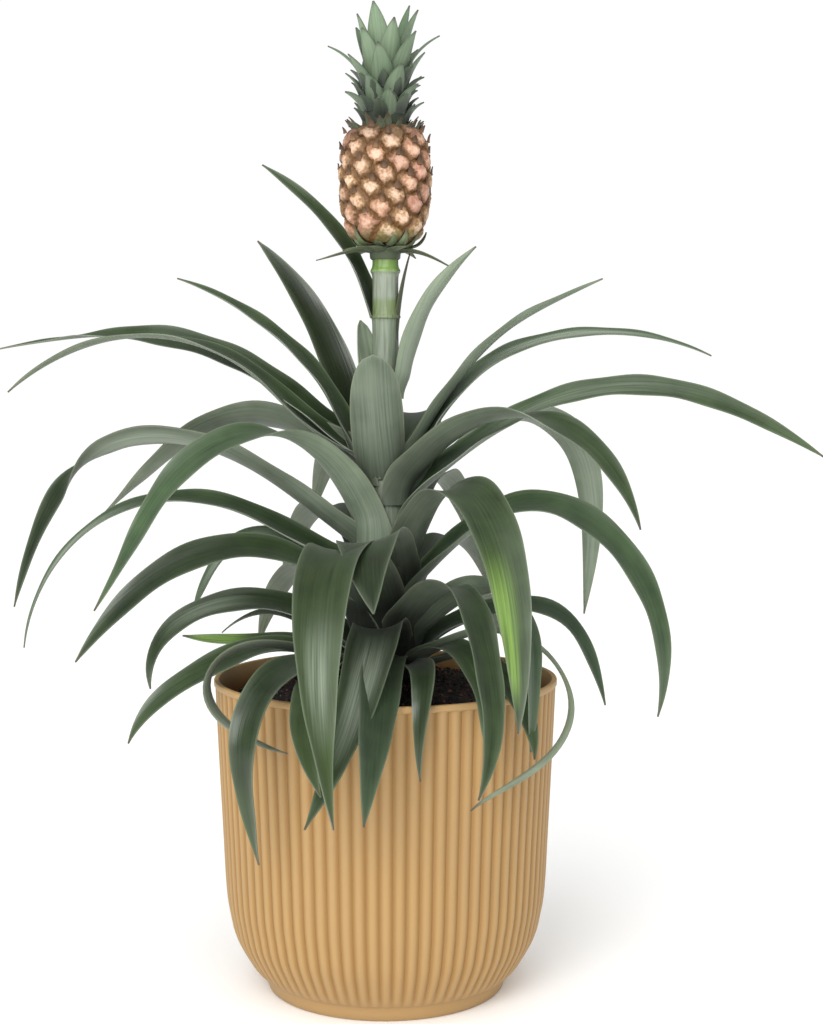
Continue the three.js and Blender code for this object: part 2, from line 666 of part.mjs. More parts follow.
function bractSolid() {
  const collar = new THREE.LatheGeometry([
    new THREE.Vector2(COLLAR_INNER_RADIUS, COLLAR_BOTTOM),
    new THREE.Vector2(COLLAR_RADIUS, COLLAR_BOTTOM + COLLAR_BEVEL),
    new THREE.Vector2(COLLAR_TOP_RADIUS, COLLAR_TOP),
    new THREE.Vector2(COLLAR_INNER_RADIUS, COLLAR_TOP),
    new THREE.Vector2(COLLAR_INNER_RADIUS, COLLAR_BOTTOM),
  ], COLLAR_SEGMENTS).rotateX(Math.PI / 2);
  const blades = FRUIT_BRACTS.map(([azimuth, length, lean, width]) => spikeGeometry({
    azimuth,
    height: FRUIT_BRACT_HEIGHT,
    length,
    lean,
    width,
    turn: 0,
    twist: 0,
    rootTwist: 0,
    start: FRUIT_BRACT_START,
    midrib: FRUIT_BRACT_THICKNESS,
  }));
  return joinAll([collar, ...blades]);
}

function namedMesh(name, geometry, color, roughness) {
  geometry.computeVertexNormals();
  const material = new THREE.MeshStandardMaterial({ color, roughness, metalness: 0 });
  const mesh = new THREE.Mesh(geometry, material);
  mesh.name = name;
  return mesh;
}

const plant = new THREE.Group();
plant.add(namedMesh('pot', potGeometry(), COLOURS.pot, 0.5));
plant.add(namedMesh('soil', soilGeometry(), COLOURS.soil, 0.95));
plant.add(namedMesh('stem', stemGeometry(0), COLOURS.stem, 0.6));
plant.add(namedMesh('fruit', toGeometry(fruitSolid()), COLOURS.fruit, 0.7));
plant.add(namedMesh('fruit_bracts', toGeometry(bractSolid()), COLOURS.bract, 0.6));
plant.add(namedMesh('crown', toGeometry(crownSolid()), COLOURS.crown, 0.6));
for (const [name, solid] of leafSolids()) {
  plant.add(namedMesh(name, toGeometry(solid), COLOURS.leaf, 0.45));
}

export default plant;
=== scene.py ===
"""Looks of a potted pineapple plant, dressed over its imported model.

Lengths are in millimetres and angles in degrees unless a name says otherwise. +Z is up, +X is right
and -Y faces the camera. Every piece replaces the plain solid of the same name and keeps its form.
"""

import logging
import math
import random
from dataclasses import dataclass
from enum import Enum
from typing import NamedTuple

import bpy
import numpy as np
from mathutils import Euler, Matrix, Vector, noise


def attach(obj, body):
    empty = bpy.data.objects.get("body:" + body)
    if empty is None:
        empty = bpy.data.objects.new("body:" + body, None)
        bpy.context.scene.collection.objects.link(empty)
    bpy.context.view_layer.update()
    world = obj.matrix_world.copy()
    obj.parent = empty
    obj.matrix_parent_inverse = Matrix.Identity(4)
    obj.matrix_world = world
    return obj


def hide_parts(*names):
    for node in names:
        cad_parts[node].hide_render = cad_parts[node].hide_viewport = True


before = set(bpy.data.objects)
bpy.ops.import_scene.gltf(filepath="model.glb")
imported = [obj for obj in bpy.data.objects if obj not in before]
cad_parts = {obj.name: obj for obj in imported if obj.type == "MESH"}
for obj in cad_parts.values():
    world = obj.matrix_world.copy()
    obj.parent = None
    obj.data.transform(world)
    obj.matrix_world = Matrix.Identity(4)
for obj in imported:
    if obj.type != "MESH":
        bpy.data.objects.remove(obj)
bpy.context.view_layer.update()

METRES = 0.001
GOLDEN_ANGLE = math.degrees(math.pi * (3 - math.sqrt(5)))
BODY = "root"
PICTURE_WIDTH = 823
PICTURE_HEIGHT = 1024

# Places of the sockets of a colour Mix node, whose names repeat
MIX_FACTOR = 0
MIX_A = 6
MIX_B = 7
MIX_RESULT = 2

MIX_COLOURS = {"data_type": "RGBA"}
SMOOTH = {"interpolation_type": "SMOOTHSTEP"}
CLAMPED_ADD = {"operation": "ADD", "use_clamp": True}
PER_METRE = 1000

Colour = tuple[float, float, float, float]
Face = tuple[int, ...]
Number = np.ndarray | float
Socket = bpy.types.NodeSocket
Tree = bpy.types.NodeTree
log = logging.getLogger("pineapple")


def linear(hex_colour: str) -> Colour:
    """Turns an sRGB hex colour to linear red, green and blue, with an alpha of 1."""
    digits = hex_colour.lstrip("#")
    values = [int(digits[i:i + 2], 16) / 255 for i in (0, 2, 4)]
    red, green, blue = (v / 12.92 if v <= 0.04045 else ((v + 0.055) / 1.055) ** 2.4 for v in values)
    return (red, green, blue, 1.0)


def smoothstep(value: Number, low: float, high: float) -> Number:
    """Rises smoothly from 0 at low to 1 at high."""
    share = np.clip((value - low) / (high - low), 0.0, 1.0)
    return share * share * (3 - 2 * share)


def between(first: Number, last: Number, share: Number) -> Number:
    """The value at a share of the way from the first to the last."""
    return first + (last - first) * share


def hump(value: Number, rise: tuple[float, float], fall: tuple[float, float]) -> Number:
    """Rises from 0 to 1 over one zone and falls back to 0 over a later one."""
    return smoothstep(value, *rise) * (1 - smoothstep(value, *fall))


def add_node(tree: Tree, kind: str, settings: dict | None = None,
             inputs: dict | None = None) -> bpy.types.Node:
    """Adds a shader node with its settings and links.

    Args:
        tree: the node tree that gets the node.
        kind: the node's type name.
        settings: its own properties by name; "stops" fills a colour ramp with places and hex colours.
        inputs: a value, a hex colour or a socket to link, by the input's name or place.

    Returns:
        The new node.
    """
    node = tree.nodes.new(kind)
    for name, value in (settings or {}).items():
        if name != "stops":
            setattr(node, name, value)
            continue
        elements = node.color_ramp.elements
        while len(elements) < len(value):
            elements.new(1.0)
        for element, (place, colour) in zip(elements, value):
            element.position = place
            element.color = linear(colour)
    for name, value in (inputs or {}).items():
        if isinstance(value, Socket):
            tree.links.new(value, node.inputs[name])
        else:
            node.inputs[name].default_value = linear(value) if isinstance(value, str) else value
    return node


@dataclass(frozen=True)
class Finish:
    """A surface finish; each kind says what it is made of and how it looks.

    Attributes:
        name: the material's name.
    """

    name: str

    # Names of the marks that the finish reads from the mesh
    MARKS = ()

    def surface(self, tree: Tree, place: Socket, mark: dict) -> dict:
        """Adds the pattern's nodes.

        Args:
            tree: the material's node tree.
            place: coordinates on the object, in metres.
            mark: the socket of each mark by its name.

        Returns:
            What goes into the shader's sockets; "Relief" is the height, strength and depth of bumps.
        """
        raise NotImplementedError

    def material(self) -> bpy.types.Material:
        """Gives the material, made the first time it is asked for."""
        made = bpy.data.materials.get(self.name)
        if made:
            return made
        material = bpy.data.materials.new(self.name)
        material.use_nodes = True
        tree = material.node_tree
        tree.nodes.clear()
        place = add_node(tree, "ShaderNodeTexCoord").outputs["Object"]
        mark = {
            name: add_node(tree, "ShaderNodeAttribute", {"attribute_name": name}).outputs["Fac"]
            for name in self.MARKS
        }
        sockets = self.surface(tree, place, mark)
        if "Relief" in sockets:
            bumps = dict(zip(("Height", "Strength", "Distance"), sockets.pop("Relief")))
            sockets["Normal"] = add_node(tree, "ShaderNodeBump", None, bumps).outputs["Normal"]
        shader = add_node(tree, "ShaderNodeBsdfPrincipled", None, sockets)
        add_node(tree, "ShaderNodeOutputMaterial", None, {"Surface": shader.outputs["BSDF"]})
        return material


@dataclass(frozen=True)
class MouldedPolypropylene(Finish):
    """Injection-moulded polypropylene, coloured through: an even matt skin with a fine spark-eroded
    grain, which gives the eye soft broad highlights. Painted shade darkens the colour down in the
    grooves, and painted shade darkens the inside from the rim downwards.

    Attributes:
        crest: colour of the ribs and the smooth parts, with faint clouds of the next colour.
        groove: colour of the painted shade down between the ribs.
        stain: colour of the painted shade inside the pot.
        grain_mm: size of the moulded grain, drawn coarser than the real one so that it shows.
    """

    crest: str = "#a28358"
    cloud: str = "#ab8852"
    groove: str = "#8e6934"
    stain: str = "#7a4611"
    cloud_mm: float = 35.0
    grain_mm: float = 0.9

    MARKS = ("groove", "stain")

    def surface(self, tree: Tree, place: Socket, mark: dict) -> dict:
        """Adds the grain, the cloudy colour, the darker grooves and the stain."""
        clouds, grain = (
            add_node(tree, "ShaderNodeTexNoise", None,
                     {"Vector": place, "Scale": PER_METRE / size, "Detail": detail}).outputs["Fac"]
            for size, detail in ((self.cloud_mm, 2.0), (self.grain_mm, 3.0))
        )
        colour = self.crest
        # The groove and inside colours are painted shade, laid over the crest colour
        covers = ((clouds, self.cloud), (mark["groove"], self.groove), (mark["stain"], self.stain))
        for strength, cover in covers:
            mix = add_node(tree, "ShaderNodeMix", MIX_COLOURS,
                           {MIX_FACTOR: strength, MIX_A: colour, MIX_B: cover})
            colour = mix.outputs[MIX_RESULT]
        rough = add_node(tree, "ShaderNodeMapRange", None, {"Value": grain, "To Min": 0.46, "To Max": 0.58})
        return {
            "Base Color": colour,
            "Roughness": rough.outputs["Result"],
            "IOR": 1.49,
            "Relief": (grain, 0.18, 0.0002),
        }


@dataclass(frozen=True)
class PeatCompost(Finish):
    """Moist peat compost: black-brown crumbs with reddish fibres, dull, with a few damp glints."""

    crumb_mm: float = 2.2

    MARKS = ("crumb",)

    def surface(self, tree: Tree, place: Socket, mark: dict) -> dict:
        """Adds the crumbs' colours and their relief."""
        crumbs = add_node(tree, "ShaderNodeTexNoise", None,
                          {"Vector": place, "Scale": PER_METRE / self.crumb_mm, "Detail": 4.0}).outputs["Fac"]
        mixed = add_node(tree, "ShaderNodeMath", {"operation": "MULTIPLY"}, {0: crumbs, 1: mark["crumb"]})
        colour = add_node(tree, "ShaderNodeValToRGB", {
            "stops": ((0.15, "#040202"), (0.45, "#0f0807"), (0.66, "#301b15"), (0.92, "#6a473a")),
        }, {"Fac": mixed.outputs["Value"]})
        return {
            "Base Color": colour.outputs["Color"],
            "Roughness": 0.85,
            "Relief": (crumbs, 0.7, 0.0008),
        }


@dataclass(frozen=True)
class LeafSkin(Finish):
    """The skin of a bromeliad's leaf: long fibres under a waxy cuticle, dusted with pale scales.

    The upper face is deep green with a satin shine. The under face has more scales, which give it a
    grey bloom. The margin is a pale dry line, and the tip dries to a dull grey brown. On some leaves a
    pale waxy coat also paints highlights, and by the roots the tone paints shade.

    Attributes:
        dark: colour between the fibres; light is that of the fibres.
        margin: colour of the edge line, and of the faint wider band along it.
        tip: colour of the dry tip.
        shine: roughness of the cuticle.
        bloom: weight of the sheen that the scales give.
        yellowish: colour that a warm leaf leans to; bluish is that of a cold one.
        wax: colour of the pale waxy coat, which also paints highlights.
        fresh: colour of a yellow-green streak.
        fibre_mm: spacing of the fibres, drawn coarser than the real ones so that they show.
        fibre_length_mm: how far one streak of them runs.
    """

    dark: str = "#182410"
    light: str = "#394b2c"
    margin: str = "#6a765f"
    tip: str = "#4b4034"
    shine: float = 0.3
    bloom: float = 0.06
    yellowish: str = "#6e8b42"
    bluish: str = "#2d3d35"
    wax: str = "#86917f"
    fresh: str = "#7c9d48"
    line_mm: float = 0.8
    band_mm: float = 3.2
    mottle_mm: float = 14.0
    fibre_mm: float = 0.8
    fibre_length_mm: float = 45.0

    MARKS = ("along", "across", "margin", "tone", "warmth", "dry", "fresh", "wax")

    def surface(self, tree: Tree, place: Socket, mark: dict) -> dict:
        """Adds the fibres, the mottling, the margin, the tone of each leaf with its painted shade, the
        waxy coat with its painted highlights, the streak and the dry tip.
        """
        along, across = (
            add_node(tree, "ShaderNodeMath", {"operation": "DIVIDE"}, {0: mark[name], 1: size}).outputs[0]
            for name, size in (("along", self.fibre_length_mm), ("across", self.fibre_mm))
        )
        lengthways = add_node(tree, "ShaderNodeCombineXYZ", None, {"X": along, "Y": across}).outputs["Vector"]
        fibres, mottle = (
            add_node(tree, "ShaderNodeTexNoise", None, {"Vector": where, "Scale": scale}).outputs["Fac"]
            for where, scale in ((lengthways, 1.0), (place, PER_METRE / self.mottle_mm))
        )
        mixed = add_node(tree, "ShaderNodeMath", {"operation": "ADD"}, {0: fibres, 1: mottle})
        spread = add_node(tree, "ShaderNodeMapRange", None,
                          {"Value": mixed.outputs["Value"], "From Min": 0.55, "From Max": 1.45})
        warm = add_node(tree, "ShaderNodeMapRange", None, {"Value": mark["warmth"], "To Max": 0.7})
        cold = add_node(tree, "ShaderNodeMapRange", None,
                        {"Value": mark["warmth"], "From Max": -1.0, "To Max": 0.6})
        colour = self.dark
        for share, cover in ((spread, self.light), (warm, self.yellowish), (cold, self.bluish)):
            mix = add_node(tree, "ShaderNodeMix", MIX_COLOURS,
                           {MIX_FACTOR: share.outputs["Result"], MIX_A: colour, MIX_B: cover})
            colour = mix.outputs[MIX_RESULT]
        # The tone also carries the painted shade by each leaf's root
        bright = add_node(tree, "ShaderNodeMapRange", None,
                          {"Value": mark["tone"], "From Min": -1.0, "To Min": 0.12, "To Max": 1.88})
        colour = add_node(tree, "ShaderNodeHueSaturation", None,
                          {"Color": colour, "Value": bright.outputs["Result"]}).outputs["Color"]
        streak = add_node(tree, "ShaderNodeMapRange", None,
                          {"Value": fibres, "From Min": 0.3, "From Max": 0.75, "To Min": 0.3})
        # The waxy coat over the fibres' streaks also paints highlights
        highlight_film, fresh = (
            add_node(tree, "ShaderNodeMath", {"operation": "MULTIPLY"},
                     {0: streak.outputs["Result"], 1: mark[name]}).outputs["Value"]
            for name in ("wax", "fresh")
        )
        band, line = (
            add_node(tree, "ShaderNodeMapRange", SMOOTH, {
                "Value": mark["margin"],
                "From Max": reach,
                "To Min": strength,
                "To Max": 0.0,
            }).outputs["Result"]
            for reach, strength in ((self.band_mm, 0.18), (self.line_mm, 0.5))
        )
        patch = add_node(tree, "ShaderNodeMath", {"operation": "SUBTRACT"}, {0: mottle, 1: 0.5})
        drier = add_node(tree, "ShaderNodeMath", CLAMPED_ADD, {0: mark["dry"], 1: patch.outputs["Value"]})
        dry = add_node(tree, "ShaderNodeMath", {"operation": "MULTIPLY", "use_clamp": True},
                       {0: drier.outputs["Value"], 1: mark["dry"]}).outputs["Value"]
        covers = ((highlight_film, self.wax), (fresh, self.fresh), (band, self.margin), (line, self.margin),
                  (dry, self.tip))
        for strength, cover in covers:
            mix = add_node(tree, "ShaderNodeMix", MIX_COLOURS,
                           {MIX_FACTOR: strength, MIX_A: colour, MIX_B: cover})
            colour = mix.outputs[MIX_RESULT]
        rough = add_node(tree, "ShaderNodeMapRange", None,
                         {"Value": fibres, "To Min": self.shine - 0.06, "To Max": self.shine + 0.1})
        return {
            "Base Color": colour,
            "Roughness": rough.outputs["Result"],
            "IOR": 1.45,
            "Sheen Weight": self.bloom,
            "Sheen Roughness": 0.5,
            "Relief": (fibres, 0.35, 0.0003),
        }


@dataclass(frozen=True)
class StalkSkin(Finish):
    """The fleshy skin of a flower stalk: green and pale by turns between its joints, from a bottom to
    a top height, with fine lengthways fibres and a satin shine."""

    bottom: float = 250.0
    top: float = 303.0
    fibre_mm: float = 0.9
    fibre_squeeze: float = 0.06

    MARKS = ("height",)

    def surface(self, tree: Tree, place: Socket, mark: dict) -> dict:
        """Adds the bands of colour by height and the fibres."""
        share = add_node(tree, "ShaderNodeMapRange", None,
                         {"Value": mark["height"], "From Min": self.bottom, "From Max": self.top})
        bands = add_node(tree, "ShaderNodeValToRGB", {
            "stops": ((0.0, "#7e8977"), (0.42, "#939f8c"), (0.47, "#7d8d61"), (0.57, "#85966c"),
                      (0.61, "#9fa999"), (0.78, "#a5ae9e"), (0.81, "#8db05d"), (0.92, "#72924a"),
                      (1.0, "#47603e")),
        }, {"Fac": share.outputs["Result"]})
        stretched = add_node(tree, "ShaderNodeVectorMath", {"operation": "MULTIPLY"},
                             {0: place, 1: (1.0, 1.0, self.fibre_squeeze)})
        fibres = add_node(tree, "ShaderNodeTexNoise", None, {
            "Vector": stretched.outputs["Vector"],
            "Scale": PER_METRE / self.fibre_mm,
            "Detail": 3.0,
        }).outputs["Fac"]
        shaded = add_node(tree, "ShaderNodeMix", {"data_type": "RGBA", "blend_type": "MULTIPLY"}, {
            MIX_FACTOR: fibres,
            MIX_A: bands.outputs["Color"],
            MIX_B: "#7d816e",
        })
        return {
            "Base Color": shaded.outputs[MIX_RESULT],
            "Roughness": 0.42,
            "Relief": (fibres, 0.3, 0.0003),
        }


@dataclass(frozen=True)
class FruitRind(Finish):
    """The rind of a young pineapple: each eye is a swollen cream and tan pad, pink in places, in a
    net of brown seams, with dry dark bract tips. It is dull, with a light waxy glint on the pads."""

    rosy: str = "#bb8173"
    green: str = "#5c6538"
    seam: str = "#694926"
    fleck_mm: float = 1.4

    MARKS = ("pad", "seam", "rosy", "green", "shade")

    def surface(self, tree: Tree, place: Socket, mark: dict) -> dict:
        """Adds the pads, the seams and the colour that each eye has of its own."""
        flecks = add_node(tree, "ShaderNodeTexNoise", None,
                          {"Vector": place, "Scale": PER_METRE / self.fleck_mm, "Detail": 4.0}).outputs["Fac"]
        ragged = add_node(tree, "ShaderNodeMapRange", None, {
            "Value": flecks,
            "From Min": 0.3,
            "From Max": 0.7,
            "To Min": -0.5,
            "To Max": 0.42,
        }).outputs["Result"]
        pad = add_node(tree, "ShaderNodeMath", CLAMPED_ADD, {0: mark["pad"], 1: ragged})
        colour = add_node(tree, "ShaderNodeValToRGB", {
            "stops": ((0.0, "#7a5c39"), (0.25, "#9b7a55"), (0.5, "#bb987a"), (0.85, "#d6b89d")),
        }, {"Fac": pad.outputs["Value"]}).outputs["Color"]
        fray = add_node(tree, "ShaderNodeMath", {"operation": "ADD"}, {0: mark["seam"], 1: ragged})
        net = add_node(tree, "ShaderNodeMapRange", SMOOTH,
                       {"Value": fray.outputs["Value"], "From Min": 0.25, "From Max": 0.75})
        covers = ((mark["rosy"], self.rosy), (mark["green"], self.green), (net.outputs["Result"], self.seam))
        for strength, cover in covers:
            mix = add_node(tree, "ShaderNodeMix", MIX_COLOURS,
                           {MIX_FACTOR: strength, MIX_A: colour, MIX_B: cover})
            colour = mix.outputs[MIX_RESULT]
        shaded = add_node(tree, "ShaderNodeHueSaturation", None, {"Color": colour, "Value": mark["shade"]})
        return {
            "Base Color": shaded.outputs["Color"],
            "Roughness": 0.62,
            "Relief": (flecks, 0.5, 0.0004),
        }


@dataclass(frozen=True)
class PaperSheet(Finish):
    """A sheet of pale matt paper, with faint clouds that show only close by."""

    cloud_mm: float = 60.0

    def surface(self, tree: Tree, place: Socket, mark: dict) -> dict:
        """Adds the paper's faint clouds."""
        clouds = add_node(tree, "ShaderNodeTexNoise", None,
                          {"Vector": place, "Scale": PER_METRE / self.cloud_mm}).outputs["Fac"]
        colour = add_node(tree, "ShaderNodeMix", MIX_COLOURS,
                          {MIX_FACTOR: clouds, MIX_A: "#fbfbfa", MIX_B: "#fdfdfc"})
        return {"Base Color": colour.outputs[MIX_RESULT], "Roughness": 0.9, "Specular IOR Level": 0.2}


UPPER_SKIN = LeafSkin("leaf_upper_skin")
UNDER_SKIN = LeafSkin("leaf_under_skin", dark="#4b5846", light="#7a8571", margin="#818771", shine=0.5,
                      bloom=0.05)
CROWN_SKINS = [
    LeafSkin("crown_leaf_upper_skin", dark="#50694f", light="#72876a", margin="#465240", tip="#474b40",
             shine=0.48, bloom=0.1),
    LeafSkin("crown_leaf_under_skin", dark="#5a7158", light="#8a9c80", margin="#3e4a38", tip="#474b40",
             shine=0.5, bloom=0.1),
]
DRY_BRACT_SKIN = LeafSkin("dry_bract_skin", dark="#634227", light="#977048", margin="#422816", shine=0.6,
                          bloom=0.1)
BRACT_SKINS = [
    LeafSkin("bract_upper_skin", dark="#3a472c", light="#64704d", margin="#585f42", tip="#433524", shine=0.5),
    LeafSkin("bract_under_skin", dark="#4c5a40", light="#768063", margin="#585f42", tip="#433524",
             shine=0.55),
]


def put(name: str, data: bpy.types.ID) -> bpy.types.Object:
    """Adds an object with a mesh, light or camera to the scene."""
    placed = bpy.data.objects.new(name, data)
    bpy.context.scene.collection.objects.link(placed)
    return placed


class Surface:
    """A mesh in the making: points, faces and the marks that the finishes read."""

    def __init__(self) -> None:
        """Starts empty."""
        self.points: list[np.ndarray] = []
        self.faces: list[Face] = []
        self.slots: list[int] = []
        self.marks: dict[str, dict[int, np.ndarray]] = {}
        self.count = 0

    def add(self, points: np.ndarray, faces: list[Face], slots: list[int] | int = 0,
            marks: dict[str, Number] | None = None) -> None:
        """Adds points with the faces between them.

        Args:
            points: one row for each point, in millimetres.
            faces: places in those rows.
            slots: the material slot of each face, or one for all.
            marks: a value for each point, or one for all, by the mark's name; those left out are zero.
        """
        start = self.count
        self.points.append(points)
        self.faces.extend(tuple(start + i for i in face) for face in faces)
        self.slots.extend([slots] * len(faces) if isinstance(slots, int) else slots)
        for name, value in (marks or {}).items():
            self.marks.setdefault(name, {})[start] = np.broadcast_to(value, len(points))
        self.count += len(points)

    def piece(self, name: str, node: str, slot: str, finishes: list[Finish],
              crease: float = 45.0) -> bpy.types.Object:
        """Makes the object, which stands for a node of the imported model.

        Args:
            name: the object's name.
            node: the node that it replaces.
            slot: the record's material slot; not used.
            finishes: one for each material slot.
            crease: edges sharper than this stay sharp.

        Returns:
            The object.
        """
        mesh = bpy.data.meshes.new(name)
        mesh.from_pydata((np.concatenate(self.points) * METRES).tolist(), [], self.faces)
        for mark, parts in self.marks.items():
            values = np.zeros(self.count, np.float32)
            for start, part in parts.items():
                values[start:start + len(part)] = part
            mesh.attributes.new(mark, "FLOAT", "POINT").data.foreach_set("value", values)
        for finish in finishes:
            mesh.materials.append(finish.material())
        mesh.polygons.foreach_set("material_index", self.slots)
        mesh.polygons.foreach_set("use_smooth", [True] * len(self.faces))
        mesh.update()
        mesh.set_sharp_from_angle(angle=math.radians(crease))
        piece = put(name, mesh)
        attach(piece, BODY)
        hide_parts(node)
        return piece


def grid_faces(rows: int, columns: int, start: int = 0, around: bool = False,
               flip: bool = False) -> list[Face]:
    """Four-sided faces of a grid of points that is stored row by row.

    Args:
        rows: number of rows of points.
        columns: number of points in a row.
        start: place of the first point.
        around: whether each row closes on itself.
        flip: whether the faces turn the other way.

    Returns:
        The faces.
    """
    last = columns if around else columns - 1
    faces = []
    for i in range(rows - 1):
        for j in range(last):
            a = start + i * columns + j
            b = start + i * columns + (j + 1) % columns
            face = (a, b, b + columns, a + columns)
            faces.append(face[::-1] if flip else face)
    return faces


def spline(p0: Number, p1: Number, p2: Number, p3: Number, t: Number) -> Number:
    """Smooth course from p1 at t = 0 to p2 at t = 1, with p0 before them and p3 after them."""
    bend = 2 * p1 + (p2 - p0) * t + (2 * p0 - 5 * p1 + 4 * p2 - p3) * t * t
    return (bend + (3 * p1 - p0 - 3 * p2 + p3) * t ** 3) / 2


def curve_through(points: np.ndarray, steps: int) -> np.ndarray:
    """Smooth curve through rows of numbers, with the ends as they are.

    Args:
        points: one row for each place on the curve.
        steps: number of steps between two places.

    Returns:
        Rows along the curve.
    """
    ends = np.vstack([2 * points[0] - points[1], points, 2 * points[-1] - points[-2]])
    rows = [spline(*four, t) for four in zip(ends, ends[1:], ends[2:], ends[3:])
            for t in np.arange(steps) / steps]
    return np.array([*rows, points[-1]])


def turned_grid(profile: np.ndarray, segments: int) -> np.ndarray:
    """Points of a surface of revolution.

    Args:
        profile: rows of height and radius.
        segments: number of points around.

    Returns:
        Points, ring by ring.
    """
    angle = np.linspace(0, 2 * math.pi, segments, endpoint=False)
    height, radius = profile[:, 0], profile[:, 1]
    x = radius[:, None] * np.cos(angle)
    y = radius[:, None] * np.sin(angle)
    z = np.repeat(height[:, None], segments, axis=1)
    return np.stack([x, y, z], axis=2).reshape(-1, 3)


def cap_ends(points: np.ndarray, faces: list[Face], segments: int) -> np.ndarray:
    """Closes the first and the last ring with fans round points on the axis.

    Args:
        points: the rings, from the bottom up.
        faces: the faces between them, which get the fans.
        segments: number of points in a ring.

    Returns:
        The points, with the middles of the two fans at the end.
    """
    count = len(points)
    last = count - segments
    for j in range(segments):
        k = (j + 1) % segments
        faces.append((count, k, j))
        faces.append((count + 1, last + j, last + k))
    return np.vstack([points, points[[0, -1]] * (0, 0, 1)])


@dataclass
class PlantPot:
    """The ribbed pot: a smooth rim, round ribs that fade out above the foot, and a thin wall."""

    height: float = 128.0
    rim_radius: float = 70.0
    rim_height: float = 2.2
    wall: float = 2.2
    floor: float = 3.0
    ribs: int = 80
    rib_depth: float = 0.9
    points_per_rib: int = 10

    # Foot from the floor up: height, radius
    FOOT = ((0.0, 47.2), (0.15, 47.7), (0.8, 48.5), (3.5, 49.4), (6.2, 50.2))
    # Outer wall from the foot up: height, radius, share of the rib depth
    WALL = ((6.5, 50.4, 0.0), (7.5, 52.6, 0.35), (12, 56.3, 0.85), (22, 61.7, 1), (31, 64.0, 1),
            (42, 65.6, 1), (68, 66.9, 1), (95, 68.2, 1), (122.6, 69.4, 1), (125.1, 69.5, 0.6))
    SEGMENTS_PER_SPAN = 5
    # Step under the rim: depth below it, distance in from its outside, share of the rib depth
    RIM_STEP = ((0.5, 0.6, 0.3), (0.3, 0.25, 0), (0, 0, 0))
    # Rounding of the rim's top edges: depth below the top, distance in from the side
    RIM_ROUNDING = ((0.7, 0), (0.2, 0.2), (0, 0.7))
    # Heights of the rings down the inside of the wall
    INSIDE = (123, 119, 112, 93, 60, 42, 22, 12)
    # Inner corner of the floor: height over it, radius
    FLOOR_ROUNDING = ((3, 48.0), (0, 44.0))
    # With 1 a groove would be a plain V, and with more its ribs are rounder
    RIB_ROUNDNESS = 1.6
    # Share of the way down a groove where its darker colour, a painted shade, starts
    GROOVE_SHADE_FROM = 0.15
    # How far below the rim the painted shade inside the pot is in full
    STAIN_DEPTH = 13.0

    def rings(self) -> list[tuple[float, float, float]]:
        """Height, radius and share of the rib depth of each ring, from the foot over the rim to the
        inside."""
        span = curve_through(np.array(self.WALL, float), self.SEGMENTS_PER_SPAN)
        inside = self.rim_radius - self.wall
        top = self.height
        heights, radii = np.array(self.WALL)[:, :2].T
        return [
            *((z, r, 0) for z, r in self.FOOT),
            *((z, r, float(np.clip(share, 0, 1))) for z, r, share in span),
            *((top - self.rim_height - z, self.rim_radius - r, share) for z, r, share in self.RIM_STEP),
            *((top - z, self.rim_radius - r, 0) for z, r in self.RIM_ROUNDING),
            *((top - z, inside + r, 0) for z, r in reversed(self.RIM_ROUNDING)),
            *((z, float(np.interp(z, heights, radii)) - self.wall, 0) for z in self.INSIDE),
            *((self.floor + z, r, 0) for z, r in self.FLOOR_ROUNDING),
        ]

    def build(self) -> bpy.types.Object:
        """Makes the pot and dresses it."""
        count = self.ribs * self.points_per_rib
        angle = np.linspace(0, 2 * math.pi, count, endpoint=False)
        phase = (np.arange(count) % self.points_per_rib) / self.points_per_rib
        from_crest = 1 - np.abs(1 - 2 * phase)
        sunk = from_crest ** self.RIB_ROUNDNESS
        rings = self.rings()
        rows = []
        grooves = []
        for z, radius, share in rings:
            r = radius - self.rib_depth * share * sunk
            rows.append(np.stack([r * np.cos(angle), r * np.sin(angle), np.full(count, z)], axis=1))
            # Painted shade: the colour darkens down each groove
            grooves.append(smoothstep(from_crest, self.GROOVE_SHADE_FROM, 1.0) * share)
        faces = grid_faces(len(rings), count, around=True)
        points = cap_ends(np.concatenate(rows), faces, count)
        # Painted shade inside the pot, darker from the rim downwards
        stain = np.zeros(len(points))
        inner_rings = len(self.INSIDE) + len(self.FLOOR_ROUNDING)
        inside = slice(-inner_rings * count - 2, len(points))
        stain[inside] = smoothstep(self.height - points[inside, 2], 0, self.STAIN_DEPTH)
        stain[-2] = 0
        surface = Surface()
        surface.add(points, faces, 0, {"groove": np.concatenate([*grooves, [0, 0]]), "stain": stain})
        finishes = [MouldedPolypropylene("moulded_polypropylene")]
        return surface.piece("pot_shell", "pot", "pot_plastic", finishes)


